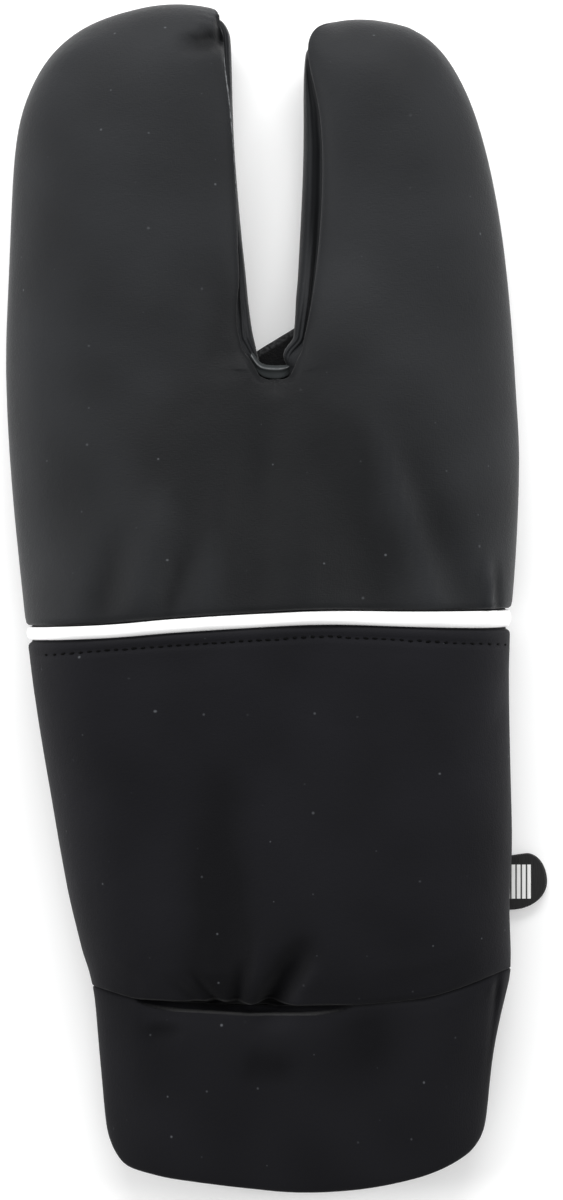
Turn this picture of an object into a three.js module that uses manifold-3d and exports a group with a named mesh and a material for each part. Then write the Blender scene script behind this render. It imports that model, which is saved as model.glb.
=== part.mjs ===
// A right-hand windproof cycling glove with two finger pockets, lying palm down.
// Millimetres. X runs across the hand, +Y to the fingertips, +Z out of the back of the hand.
// The origin is on the surface under the glove, at the middle of its length and width.
// The glove is one hollow form of thin cloth walls, cut into panels along its seams.

import * as THREE from "three";
import Module from "manifold-3d";

// Driving dimensions
const SHELL_WALL = 2.4; // windproof face and its bonded fleece, also the palm
const GUSSET_WALL = 1.6;
const GUSSET_IN = 2.15; // how far under the slit's wall the gusset meets the palm
const GUSSET_UNDER = 2.9; // how far below the back's face the gusset's upper edge lies
const GUSSET_FLOOR = { aside: [-1.8, 1.6], above: 0.5, inset: 0.35 }; // at the slit's bottom
const CUFF_WALL = 2.0; // the cuff's knit is doubled
const THUMB_WALL = 1.6;
const SEAM_GAP = 0.35; // between any two panels
const SEAM_UNDER = 2.6; // how far in from the outline the back meets the palm, underneath
const PALM_IN = SEAM_UNDER + 0.5;
const CENTRE_X = -0.7; // the slit's own line, carried down the hand
const CROTCH_Y = 50.4; // bottom of the slit in the back

// Outline of the glove from the hem to the bottom of the slit.
const HAND = [
  { y: -136, left: -38.6, right: 47.4 },
  { y: -120, left: -39.3, right: 47.5 },
  { y: -103, left: -40.8, right: 48.9 },
  { y: -92, left: -41.7, right: 51.4 },
  { y: -86, left: -42.8, right: 52.8 },
  { y: -80, left: -44.7, right: 53.0 },
  { y: -69, left: -47.4, right: 52.6 },
  { y: -58, left: -49.6, right: 53.3 },
  { y: -35, left: -53.3, right: 52.8 },
  { y: -12, left: -56.5, right: 52.6 },
  { y: 11, left: -59.2, right: 54.2 },
  { y: 33, left: -61.1, right: 54.9 },
  { y: 51.2, left: -61.9, right: 53.9 },
];

// Rungs across each pocket, from the slit's bottom to the tip. The outer end is on the glove's
// side, the slit end on the slit; inset is how far the back's edge stays behind the slit's
// wall, and bow is how far the rung's middle rises towards the tip.
const INDEX_POCKET = [
  { outerX: -61.9, outerY: 51.2, slitX: -3.6, slitY: 51.2, inset: 0.4, bow: 0 },
  { outerX: -61.9, outerY: 58.5, slitX: -5.2, slitY: 58.5, inset: 2.2, bow: 0 },
  { outerX: -61.5, outerY: 67.6, slitX: -6.4, slitY: 67.6, inset: 2.0, bow: 0 },
  { outerX: -61.0, outerY: 79.0, slitX: -7.8, slitY: 79.0, inset: 1.3, bow: 0 },
  { outerX: -60.6, outerY: 90.4, slitX: -9.0, slitY: 90.4, inset: 0.2, bow: 0 },
  { outerX: -59.8, outerY: 104.0, slitX: -10.0, slitY: 102.5, inset: 0.0, bow: 0.3 },
  { outerX: -57.6, outerY: 113.1, slitX: -10.2, slitY: 112.0, inset: 0.6, bow: 0.8 },
  { outerX: -52.7, outerY: 122.3, slitX: -10.3, slitY: 121.0, inset: 1.9, bow: 1.6 },
  { outerX: -45.6, outerY: 128.5, slitX: -10.6, slitY: 127.5, inset: 1.8, bow: 2.0 },
  { outerX: -38.0, outerY: 132.0, slitX: -11.4, slitY: 131.3, inset: 0.6, bow: 1.4 },
  { outerX: -30.5, outerY: 134.0, slitX: -13.8, slitY: 133.6, inset: 0.1, bow: 1.0 },
];
const RING_POCKET = [
  { outerX: 53.9, outerY: 51.2, slitX: 2.3, slitY: 51.2, inset: 0.4, bow: 0 },
  { outerX: 53.4, outerY: 58.5, slitX: 3.2, slitY: 58.5, inset: 2.9, bow: 0 },
  { outerX: 52.7, outerY: 67.6, slitX: 3.9, slitY: 67.6, inset: 3.9, bow: 0 },
  { outerX: 51.5, outerY: 79.0, slitX: 4.5, slitY: 79.0, inset: 4.7, bow: 0 },
  { outerX: 49.8, outerY: 90.4, slitX: 5.1, slitY: 90.4, inset: 4.9, bow: 0 },
  { outerX: 47.2, outerY: 102.5, slitX: 5.5, slitY: 101.5, inset: 4.6, bow: 0.3 },
  { outerX: 43.9, outerY: 113.0, slitX: 5.5, slitY: 110.5, inset: 3.8, bow: 0.8 },
  { outerX: 39.4, outerY: 121.4, slitX: 5.6, slitY: 118.0, inset: 1.8, bow: 1.4 },
  { outerX: 34.6, outerY: 126.6, slitX: 6.3, slitY: 124.3, inset: 0.3, bow: 1.6 },
  { outerX: 28.8, outerY: 129.8, slitX: 8.2, slitY: 128.5, inset: 0.1, bow: 1.2 },
  { outerX: 22.0, outerY: 131.1, slitX: 12.2, slitY: 130.6, inset: 0.1, bow: 0.4 },
];

// How thick the glove is: the waist is the height of its widest line over the surface that it
// lies on, and rise is how far the back stands over the waist.
const THICKNESS = [
  { y: -136, waist: 6.5, rise: 7.6 },
  { y: -125, waist: 6.8, rise: 8.8 },
  { y: -110, waist: 7.0, rise: 9.6 },
  { y: -97, waist: 7.2, rise: 10.6 },
  { y: -90, waist: 7.4, rise: 12.0 },
  { y: -82, waist: 7.8, rise: 14.0 },
  { y: -68, waist: 8.2, rise: 15.4 },
  { y: -45, waist: 8.5, rise: 16.2 },
  { y: 0, waist: 8.5, rise: 16.0 },
  { y: 35, waist: 8.5, rise: 15.0 },
  { y: 60, waist: 8.5, rise: 13.8 },
  { y: 100, waist: 8.5, rise: 13.2 },
  { y: 136, waist: 8.2, rise: 12.6 },
];
const EDGE_REACH = 13; // the back rounds down to the waist within this distance of the outline
const PALM_REACH = 8;
const ROLL_REACH = 6.5; // the back rolls down towards the slit
const ROLL_START = 0.66;
const CROWN_REACH = 22;
const CROWN = 0.15;

// Seams across the glove.
const HEM = [
  { x: -39.3, y: -121.0 },
  { x: -38.3, y: -125.4 },
  { x: -35.0, y: -129.2 },
  { x: -25.0, y: -131.7 },
  { x: -4.3, y: -134.2 },
  { x: 7.3, y: -134.9 },
  { x: 20.3, y: -134.0 },
  { x: 31.9, y: -131.7 },
  { x: 38.2, y: -129.3 },
  { x: 44.9, y: -125.6 },
  { x: 47.4, y: -121.4 },
  { x: 47.9, y: -115.0 },
];
const CUFF_SEAM = [
  { x: -43, y: -88.3 },
  { x: -31, y: -91.2 },
  { x: -6, y: -93.0 },
  { x: 15, y: -92.4 },
  { x: 33, y: -90.8 },
  { x: 42, y: -88.0 },
  { x: 53, y: -84.4 },
];
const PIPING = [
  { x: -58, y: -8.4, half: 1.75 },
  { x: -39, y: -7.9, half: 1.75 },
  { x: -22, y: -6.5, half: 1.8 },
  { x: -6, y: -5.5, half: 1.8 },
  { x: 12, y: -4.8, half: 1.8 },
  { x: 27, y: -5.0, half: 1.95 },
  { x: 47, y: -5.2, half: 2.2 },
  { x: 54, y: -4.9, half: 2.2 },
];
const PIPING_SINK = 1.2; // the channel that the piping lies in
const PIPING_PROUD = 0.5;

// Gathers over the cuff and dents, each a furrow from one end to the other.
const FOLDS = [
  { x1: -14.8, y1: -92, x2: -20.5, y2: -81.5, width: 2.0, depth: 1.3 },
  { x1: -10.4, y1: -93, x2: -7.8, y2: -85, width: 1.9, depth: 1.5 },
  { x1: -3.2, y1: -94, x2: 8.0, y2: -75, width: 3.0, depth: 2.6 },
  { x1: -8.2, y1: -84, x2: -9.4, y2: -36, width: 4.5, depth: 0.7 },
  { x1: 32, y1: 0, x2: 11, y2: 40, width: 8, depth: 1.0 },
  { x1: -30, y1: 0, x2: -17, y2: 30, width: 7, depth: -0.7 },
  { x1: -11.5, y1: 125.6, x2: -20, y2: 122.4, width: 2.3, depth: 1.5 },
];
// The crease over the cuff, where both panels dip to their seam.
const CREASE = { x: -8, reach: 16, dip: 1.3, more: 2.0, bodySide: 4.6, cuffSide: 3.0 };

// The thumb stall, folded flat under the palm. It is sewn from two halves, one over the other,
// and its tip shows at the bottom of the slit.
const THUMB_HEEL = new THREE.Vector2(-38, -28);
const THUMB_AXIS = new THREE.Vector2(0.538, 0.843).normalize();
const THUMB_HEIGHT = 8.8;
const THUMB = [
  { along: 0.6, half: 4.5, high: 0.35 },
  { along: 3, half: 9.0, high: 0.68 },
  { along: 8, half: 13.2, high: 0.92 },
  { along: 16, half: 15.6, high: 1 },
  { along: 30, half: 16.4, high: 1 },
  { along: 50, half: 16.6, high: 1 },
  { along: 70, half: 17.0, high: 1 },
  { along: 86, half: 17.0, high: 0.98 },
  { along: 94, half: 15.0, high: 0.88 },
  { along: 99, half: 11.0, high: 0.7 },
  { along: 101.8, half: 6.4, high: 0.45 },
  { along: 102.8, half: 2.6, high: 0.22 },
];
const THUMB_SIDES = 16;
const THUMB_SQUARE = { side: 0.75, top: 0.7 }; // powers below 1 make the stall's section squarer
const THUMB_HOLE = { along: 23, long: 17, wide: 10 };
const LIFT_RUN = { from: 14, to: 86 }; // the stretch of the stall's axis that lifts the palm
const LIFT_RADIUS = 15.5; // the palm rides over the stall inside this distance of its axis
const LIFT_FALL = 20;
const LIFT_SHARE = 0.35; // how much of that the back of the hand shows

// The label in the side seam.
const TAB = {
  root: 50.9,
  straight: 53.6,
  reach: 61.7,
  middleY: -65.2,
  half: 6.5,
  low: 0.8,
  thick: 1.2,
};

// Grid spacing, as distances in from an edge.
const EDGE_STEPS = [0.45, 1.7, 4, 7.5];
const UNDER_STEPS = [SEAM_UNDER, 1.0];
const SLIT_STEPS = [0.8, 2.6, 5.6];
const PALM_STEPS = [1.8, 4.6];
const SHELL_CELLS = 5;
const PALM_CELLS = 4;

const { clamp, lerp, smoothstep } = THREE.MathUtils;

// Where a column of a table passes a value, as a fractional row number.
function rowAt(table, column, value) {
  let i = 0;
  while (i < table.length - 2 && table[i + 1][column] < value) i++;
  const share = (value - table[i][column]) / (table[i + 1][column] - table[i][column]);
  return i + clamp(share, 0, 1);
}

// Every column of a table at a fractional row number, on a smooth curve through the rows.
function smoothRow(table, at) {
  const i = Math.min(Math.floor(at), table.length - 2);
  const f = at - i;
  const near = [-1, 0, 1, 2].map((k) => table[clamp(i + k, 0, table.length - 1)]);
  const row = {};
  for (const column of Object.keys(table[0])) {
    const [a, b, c, d] = near.map((r) => r[column]);
    const bend = (2 * a - 5 * b + 4 * c - d) * f * f + (3 * b - a - 3 * c + d) * f * f * f;
    row[column] = 0.5 * (2 * b + (c - a) * f + bend);
  }
  return row;
}

const lookUp = (table, column, value) => smoothRow(table, rowAt(table, column, value));

// A quarter ellipse: 0 at an edge, 1 from one reach inwards.
function rounded(distance, reach) {
  const left = 1 - clamp(distance / reach, 0, 1);
  return Math.sqrt(1 - left * left);
}

// A point of a rung: share 0 is its outer end, 1 its slit end.
function rungPoint(rung, share) {
  const y = lerp(rung.outerY, rung.slitY, share) + rung.bow * (1 - (2 * share - 1) ** 2);
  return new THREE.Vector2(lerp(rung.outerX, rung.slitX, share), y);
}

const POCKET_TOP = INDEX_POCKET.length - 1; // both tables have as many rungs

// A pocket's edge as a line of points.
function pocketEdge(pocket, pointOf) {
  const line = [];
  for (let at = 0; at <= POCKET_TOP; at += 0.25) line.push(pointOf(smoothRow(pocket, at)));
  return line;
}

function outerLine(pocket, side) {
  const line = [];
  for (let y = HAND[0].y; y < INDEX_POCKET[0].outerY; y += 3) {
    line.push(new THREE.Vector2(lookUp(HAND, "y", y)[side], y));
  }
  line.push(...pocketEdge(pocket, (rung) => rungPoint(rung, 0)));
  for (let share = 0.1; share < 1.05; share += 0.1) line.push(rungPoint(pocket[POCKET_TOP], share));
  return line;
}

// The slit from the index side's tip, round its bottom, to the ring side's tip.
function slitLine(behind) {
  const index = pocketEdge(INDEX_POCKET, (r) => new THREE.Vector2(r.slitX - behind * r.inset, r.slitY));
  const ring = pocketEdge(RING_POCKET, (r) => new THREE.Vector2(r.slitX + behind * r.inset, r.slitY));
  return [...index.reverse(), new THREE.Vector2(CENTRE_X, CROTCH_Y), ...ring];
}

const OUTER_LINES = [outerLine(INDEX_POCKET, "left"), outerLine(RING_POCKET, "right")];
const SLIT_WALL_LINE = slitLine(0);
const SLIT_BACK_LINE = slitLine(1);

function distanceTo(lines, x, y) {
  let nearest = Infinity;
  for (const line of lines) {
    for (let i = 1; i < line.length; i++) {
      const a = line[i - 1];
      const b = line[i];
      const dx = b.x - a.x;
      const dy = b.y - a.y;
      const t = clamp(((x - a.x) * dx + (y - a.y) * dy) / (dx * dx + dy * dy), 0, 1);
      nearest = Math.min(nearest, Math.hypot(x - a.x - t * dx, y - a.y - t * dy));
    }
  }
  return nearest;
}

// How far the thumb stall lifts the palm off the surface.
function liftAt(x, y) {
  const tip = THUMB_HEEL.clone().addScaledVector(THUMB_AXIS, LIFT_RUN.to);
  const heel = THUMB_HEEL.clone().addScaledVector(THUMB_AXIS, LIFT_RUN.from);
  const away = distanceTo([[heel, tip]], x, y);
  return (THUMB_HEIGHT + SEAM_GAP) * (1 - smoothstep(away, LIFT_RADIUS, LIFT_RADIUS + LIFT_FALL));
}

function foldsAt(x, y) {
  let sum = 0;
  for (const fold of FOLDS) {
    const dx = fold.x2 - fold.x1;
    const dy = fold.y2 - fold.y1;
    const long = Math.hypot(dx, dy);
    const along = ((x - fold.x1) * dx + (y - fold.y1) * dy) / (long * long);
    const aside = ((x - fold.x1) * dy - (y - fold.y1) * dx) / long / fold.width;
    const fade = smoothstep(along, -0.25, 0.05) * (1 - smoothstep(along, 0.1, 1));
    sum += fold.depth * fade * Math.exp(-aside * aside);
  }
  return sum;
}

const creaseShare = (x) => Math.exp(-(((x - CREASE.x) / CREASE.reach) ** 2));

function seamDip(x, y) {
  const over = y - lookUp(CUFF_SEAM, "x", x).y;
  const reach = over > 0 ? CREASE.bodySide : CREASE.cuffSide;
  return (CREASE.dip + CREASE.more * creaseShare(x)) * Math.exp(-((over / reach) ** 2));
}

// Height of the back over the surface that the glove lies on.
function backHeight(x, y) {
  const { waist, rise } = lookUp(THICKNESS, "y", y);
  const lift = liftAt(x, y);
  const fromOutline = distanceTo(OUTER_LINES, x, y);
  const fromSlit = distanceTo([SLIT_BACK_LINE], x, y);
  const edge = rounded(fromOutline, EDGE_REACH);
  const roll = lerp(ROLL_START, 1, rounded(fromSlit, ROLL_REACH));
  const crown = 1 - CROWN * (1 - smoothstep(Math.min(fromOutline, fromSlit), 0, CROWN_REACH));
  const top = (rise - (1 - LIFT_SHARE) * lift) * crown;
  return waist + lift + (top * roll - foldsAt(x, y) - seamDip(x, y)) * edge;
}

function palmHeight(x, y) {
  const { waist } = lookUp(THICKNESS, "y", y);
  const fromEdge = distanceTo([...OUTER_LINES, SLIT_WALL_LINE], x, y);
  return liftAt(x, y) + waist * (1 - rounded(fromEdge, PALM_REACH));
}

// The way out of the cloth at a point. A point on the outline is looked at just inside it.
function normalAt(height, x, y, sign) {
  const h = 0.1;
  const slopeX = (height(x + h, y) - height(x - h, y)) / (2 * h);
  const slopeY = (height(x, y + h) - height(x, y - h)) / (2 * h);
  return new THREE.Vector3(-slopeX, -slopeY, 1).multiplyScalar(sign).normalize();
}

// A point of the glove's outer face with the point behind it on the cloth's inner face. Face is
// "back", "palm" or "outline"; towards is a plan point inside the glove. Sink moves the outer
// face in.
function clothPoint(x, y, face, towards, wall, sink = 0) {
  const inward = new THREE.Vector2(towards.x - x, towards.y - y).normalize().multiplyScalar(0.25);
  const px = x + inward.x;
  const py = y + inward.y;
  const height = face === "palm" ? palmHeight : backHeight;
  let normal;
  if (face === "outline") {
    normal = normalAt(backHeight, px, py, 1).add(normalAt(palmHeight, px, py, -1)).normalize();
  } else {
    normal = normalAt(height, px, py, face === "back" ? 1 : -1);
  }
  const point = new THREE.Vector3(x, y, height(x, y));
  return {
    outer: point.clone().addScaledVector(normal, -sink),
    inner: point.clone().addScaledVector(normal, -wall),
  };
}

// Distances along a line: steps in from its start, even cells, and steps before its end.
function stations(length, startSteps, endSteps, cells) {
  const scale = Math.min(1, length / 24);
  const start = [0, ...startSteps.map((s) => s * scale)];
  const end = [0, ...endSteps.map((s) => s * scale)].reverse().map((s) => length - s);
  const from = start[start.length - 1];
  const even = [];
  for (let i = 1; i < cells; i++) even.push(lerp(from, end[0], i / cells));
  return [...start, ...even, ...end];
}

// A closed solid from grids of cloth points. Points that coincide are joined, so two grids that
// share an edge make one sheet, and the sheet's free edges are walled.
function solidOf(grids) {
  const index = new Map();
  const points = [];
  const idOf = (point) => {
    const key = point.outer.toArray().map((v) => Math.round(v * 500)).join();
    if (!index.has(key)) {
      index.set(key, points.length);
      points.push(point);
    }
    return index.get(key);
  };
  const faces = [];
  const addFace = (a, b, c) => {
    if (a !== b && b !== c && c !== a) faces.push([a, b, c]);
  };
  for (const grid of grids) {
    const ids = grid.map((row) => row.map(idOf));
    for (let i = 1; i < ids.length; i++) {
      for (let j = 1; j < ids[i].length; j++) {
        addFace(ids[i - 1][j - 1], ids[i - 1][j], ids[i][j]);
        addFace(ids[i - 1][j - 1], ids[i][j], ids[i][j - 1]);
      }
    }
  }
  const edges = new Set();
  for (const [a, b, c] of faces) for (const edge of [[a, b], [b, c], [c, a]]) edges.add(edge.join());
  const count = points.length;
  const solid = [];
  for (const [a, b, c] of faces) solid.push([a, b, c], [a + count, c + count, b + count]);
  for (const edge of edges) {
    const [a, b] = edge.split(",").map(Number);
    if (!edges.has([b, a].join())) solid.push([b, a, a + count], [b, a + count, b + count]);
  }
  const positions = [...points.map((p) => p.outer), ...points.map((p) => p.inner)];
  return geometryOf(positions, solid);
}

function geometryOf(positions, faces) {
  let volume = 0;
  for (const [a, b, c] of faces) {
    volume += positions[a].dot(positions[b].clone().cross(positions[c]));
  }
  const turned = volume > 0 ? faces : faces.map(([a, b, c]) => [a, c, b]);
  const geometry = new THREE.BufferGeometry().setFromPoints(positions);
  geometry.setIndex(turned.flat());
  return geometry;
}

// Joining and cutting of closed solids.
const wasm = await Module();
wasm.setup();

function manifoldOf(geometry) {
  const vertProperties = new Float32Array(geometry.getAttribute("position").array);
  const triVerts = new Uint32Array(geometry.index.array);
  return new wasm.Manifold(new wasm.Mesh({ numProp: 3, vertProperties, triVerts }));
}

function geometryFrom(manifold) {
  const mesh = manifold.getMesh();
  const geometry = new THREE.BufferGeometry();
  geometry.setAttribute("position", new THREE.BufferAttribute(mesh.vertProperties, 3));
  geometry.setIndex(new THREE.BufferAttribute(mesh.triVerts, 1));
  return geometry;
}

// Where a line across the hand, given by its y over x, meets the outline.
function outlineAt(side, yOf) {
  let outer = new THREE.Vector2(0, yOf(CENTRE_X));
  for (let i = 0; i < 4; i++) {
    const x = lookUp(HAND, "y", outer.y)[side];
    outer = new THREE.Vector2(x, yOf(x));
  }
  return outer;
}

const pipingTop = (x) => {
  const row = lookUp(PIPING, "x", x);
  return row.y + row.half;
};
const pipingLow = (x) => {
  const row = lookUp(PIPING, "x", x);
  return row.y - row.half;
};
const cuffSeam = (x) => lookUp(CUFF_SEAM, "x", x).y;

// Lines across the hand, from the cuff to the piping and from the piping to the slit.
const LOWER_CELLS = 11;
const UPPER_CELLS = 9;
const lowerLines = [];
for (let i = 0; i <= LOWER_CELLS; i++) {
  const share = (i / LOWER_CELLS) ** 1.35;
  lowerLines.push((x) => lerp(cuffSeam(x) + SEAM_GAP / 2, pipingLow(x) - 0.7, share));
}
function upperLines(crotchY) {
  const lines = [];
  for (let i = 0; i <= UPPER_CELLS; i++) {
    lines.push((x) => lerp(pipingTop(x) + SEAM_GAP, crotchY, i / UPPER_CELLS));
  }
  return lines;
}

// The way from a point of the outline straight into the glove.
function inwardAt(lines, point, towards) {
  const start = point.clone().lerp(towards, 0.4 / point.distanceTo(towards));
  const h = 0.1;
  const slopeX = distanceTo(lines, start.x + h, start.y) - distanceTo(lines, start.x - h, start.y);
  const slopeY = distanceTo(lines, start.x, start.y + h) - distanceTo(lines, start.x, start.y - h);
  return new THREE.Vector2(slopeX, slopeY).normalize();
}

// Rows of rungs over the hand and one pocket. Each has its ends, the way along it, and a plan
// point that is well inside the glove.
const POCKET_ROWS = [0, 1, 2, 3, 4, 5, 6, 6.9, 7.6, 8.15, 8.65, 9.1, 9.5, 9.8, 10];
const GUSSET_ROWS = [0.12, 0.5, 1, 1.6, 2.3, 3, 4, 5, 6, 6.7, 7.4, 7.9, 8.35, 8.7];

function halfRungs(side, lines) {
  const pocket = side === "left" ? INDEX_POCKET : RING_POCKET;
  const rungs = [];
  for (const yOf of lines) {
    const outer = outlineAt(side, yOf);
    const inner = new THREE.Vector2(CENTRE_X, yOf(CENTRE_X));
    const at = (share) => {
      const x = lerp(outer.x, inner.x, share);
      return new THREE.Vector2(x, yOf(x));
    };
    const length = Math.abs(outer.x - inner.x);
    rungs.push({ at, length, inside: at(0.5), slit: false, inset: 0, bow: 0 });
  }
  for (const row of POCKET_ROWS) {
    const rung = smoothRow(pocket, row);
    const inside = rungPoint(smoothRow(pocket, Math.max(0, Math.min(row, 8) - 1)), 0.5);
    const at = (share) => rungPoint(rung, share);
    const length = Math.abs(rung.outerX - rung.slitX);
    const { inset, bow } = rung;
    rungs.push({ at, length, inside, slit: true, inset, bow, tip: row === POCKET_TOP });
  }
  return rungs;
}

// The right half's rows run the other way, so they are turned round to face as the left's do.
const facingAlike = (rows, side) => (side === "left" ? rows : rows.map((row) => [...row].reverse()));

// Half of the upper back: over the hand from the piping, over one pocket, and round the side and
// the tip to the seam underneath.
function shellHalf(side) {
  const rows = [];
  const rungs = halfRungs(side, upperLines(CROTCH_Y));
  for (const rung of rungs) {
    const outer = rung.at(0);
    const inward = inwardAt(OUTER_LINES, outer, rung.inside);
    const end = rung.length - rung.inset;
    const under = (step) => outer.clone().addScaledVector(inward, step);
    const row = UNDER_STEPS.map((step) => {
      const p = under(step);
      return clothPoint(p.x, p.y, "palm", rung.inside, SHELL_WALL);
    });
    for (const [i, s] of stations(end, EDGE_STEPS, SLIT_STEPS, SHELL_CELLS).entries()) {
      const p = rung.at(s / rung.length);
      const face = i === 0 || rung.tip ? "outline" : "back";
      row.push(clothPoint(p.x, p.y, face, rung.inside, SHELL_WALL));
    }
    rows.push(row);
    if (rung.tip) {
      for (const step of [...UNDER_STEPS].reverse()) {
        const underRow = UNDER_STEPS.map((column) => {
          const p = under(Math.max(step, column));
          return clothPoint(p.x, p.y, "palm", rung.inside, SHELL_WALL);
        });
        for (const s of stations(end, EDGE_STEPS, SLIT_STEPS, SHELL_CELLS)) {
          const edge = rung.at(s / rung.length);
          const p = edge.clone().addScaledVector(inwardAt(OUTER_LINES, edge, rung.inside), step);
          underRow.push(clothPoint(p.x, p.y, "palm", rung.inside, SHELL_WALL));
        }
        rows.push(underRow);
      }
    }
  }
  return facingAlike(rows, side);
}

// Half of the palm, with the underside of one pocket, inside the seam all round.
function palmHalf(side) {
  const rungs = halfRungs(side, [...lowerLines, ...upperLines(CROTCH_Y - PALM_IN)]);
  const rows = rungs.map((rung) => {
    const edges = [...OUTER_LINES, SLIT_WALL_LINE];
    const moved = (share) => {
      const p = rung.at(share);
      return p.addScaledVector(inwardAt(edges, p, rung.inside), PALM_IN);
    };
    const start = moved(0);
    const end = rung.slit ? moved(1) : rung.at(1);
    const length = start.distanceTo(end);
    return stations(length, PALM_STEPS, PALM_STEPS, PALM_CELLS).map((s) => {
      const share = s / length;
      const p = start.clone().lerp(end, share);
      p.y += rung.bow * (1 - (2 * share - 1) ** 2);
      return clothPoint(p.x, p.y, "palm", rung.inside, SHELL_WALL);
    });
  });
  return facingAlike(rows, side);
}

// Places across the whole hand from seam to seam: the left underside, over the back, and the
// right underside. Each is a share of the width or a distance in from an outline.
const BACK_CELLS = { left: 3, gathers: 13, right: 7 };
const GATHERS = { from: 0.2, to: 0.58 };

function backColumns() {
  const columns = UNDER_STEPS.map((step) => ({ face: "palm", end: 0, step }));
  columns.push({ face: "outline", end: 0, step: 0 });
  for (const step of EDGE_STEPS) columns.push({ face: "back", end: 0, step });
  const { from, to } = GATHERS;
  for (let i = 1; i < BACK_CELLS.left; i++) {
    columns.push({ face: "back", share: lerp(0.07, from, i / BACK_CELLS.left) });
  }
  for (let i = 0; i < BACK_CELLS.gathers; i++) {
    columns.push({ face: "back", share: lerp(from, to, i / BACK_CELLS.gathers) });
  }
  for (let i = 0; i < BACK_CELLS.right; i++) {
    columns.push({ face: "back", share: lerp(to, 0.93, i / BACK_CELLS.right) });
  }
  for (const step of [...EDGE_STEPS].reverse()) columns.push({ face: "back", end: 1, step });
  columns.push({ face: "outline", end: 1, step: 0 });
  for (const step of [...UNDER_STEPS].reverse()) columns.push({ face: "palm", end: 1, step });
  return columns;
}

// The plan point of a column on a line that runs across the hand.
function crossing(column, yOf) {
  let x = CENTRE_X;
  for (let i = 0; i < 4; i++) {
    const { left, right } = lookUp(HAND, "y", yOf(x));
    if (column.share !== undefined) x = lerp(left, right, column.share);
    else x = column.end === 0 ? left + column.step : right - column.step;
  }
  return new THREE.Vector2(x, yOf(x));
}

// A band of cloth across the back. Each line gives its y over x, and how far it is sunk on the
// back and on the sides.
function backBand(lines, wall) {
  return lines.map(({ yOf, sink = 0, sideSink = sink }) =>
    backColumns().map((column) => {
      const p = crossing(column, yOf);
      const inside = new THREE.Vector2(CENTRE_X, p.y);
      const sunk = column.face === "back" ? sink : sideSink;
      return clothPoint(p.x, p.y, column.face, inside, wall, sunk);
    }),
  );
}

function lowerBack() {
  const lines = lowerLines.map((yOf) => ({ yOf }));
  lines.push({ yOf: (x) => pipingLow(x) - 0.1, sink: PIPING_SINK });
  lines.push({ yOf: (x) => pipingTop(x), sink: PIPING_SINK });
  return solidOf([backBand(lines, SHELL_WALL)]);
}

function reflectivePiping() {
  const profile = [
    { share: 0, proud: -0.35 },
    { share: 0.25, proud: PIPING_PROUD * 0.75 },
    { share: 0.5, proud: PIPING_PROUD },
    { share: 0.75, proud: PIPING_PROUD * 0.75 },
    { share: 1, proud: -0.35 },
  ];
  const lines = profile.map(({ share, proud }) => ({
    yOf: (x) => lerp(pipingLow(x) + SEAM_GAP, pipingTop(x) - SEAM_GAP / 2, share),
    sink: -proud,
    sideSink: Math.max(-proud, 0) + 0.1,
  }));
  return solidOf([backBand(lines, PIPING_SINK - SEAM_GAP)]);
}

// The gusset: a strip down one side of the slit, round its bottom and up the other side.
function gussetStations() {
  const places = [];
  const add = (pocket, row) => {
    const rung = smoothRow(pocket, row);
    places.push({ p: new THREE.Vector2(rung.slitX, rung.slitY), inset: rung.inset });
  };
  for (const row of [...GUSSET_ROWS].reverse()) add(INDEX_POCKET, row);
  for (const aside of GUSSET_FLOOR.aside) {
    const p = new THREE.Vector2(CENTRE_X + aside, CROTCH_Y + GUSSET_FLOOR.above);
    places.push({ p, inset: GUSSET_FLOOR.inset });
  }
  for (const row of GUSSET_ROWS) add(RING_POCKET, row);
  return places;
}

function slitGusset() {
  const places = gussetStations();
  const rows = places.map(({ p, inset }, i) => {
    const before = places[Math.max(i - 1, 0)].p;
    const after = places[Math.min(i + 1, places.length - 1)].p;
    const run = after.clone().sub(before).normalize();
    const inward = new THREE.Vector2(run.y, -run.x); // into the cloth, away from the slit
    const inSlit = p.clone().addScaledVector(inward, inset + 0.25);
    const lift = liftAt(p.x, p.y);
    const waist = lookUp(THICKNESS, "y", p.y).waist + lift;
    const edge = backHeight(inSlit.x, inSlit.y) - GUSSET_UNDER;
    const seamPoint = p.clone().addScaledVector(inward, GUSSET_IN);
    const low = palmHeight(seamPoint.x, seamPoint.y);
    const crest = Math.min(waist, lerp(low, edge, 0.55));
    const section = [
      { in: inset + 1.5, z: edge },
      { in: inset * 0.85 + 0.3, z: edge - 0.9 },
      { in: inset * 0.35, z: lerp(crest, edge - 0.9, 0.5) },
      { in: 0, z: crest },
      { in: 0.7, z: lerp(low, crest, 0.42) },
      { in: GUSSET_IN, z: low },
    ];
    return section.map((q, k) => {
      const a = section[Math.max(k - 1, 0)];
      const b = section[Math.min(k + 1, section.length - 1)];
      const out = new THREE.Vector2(b.z - a.z, a.in - b.in).normalize(); // inward share, height
      const outer = new THREE.Vector3(p.x + inward.x * q.in, p.y + inward.y * q.in, q.z);
      const inner = outer.clone();
      inner.x -= inward.x * out.x * GUSSET_WALL;
      inner.y -= inward.y * out.x * GUSSET_WALL;
      inner.z -= out.y * GUSSET_WALL;
      return { outer, inner };
    });
  });
  return solidOf([rows]);
}

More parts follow.
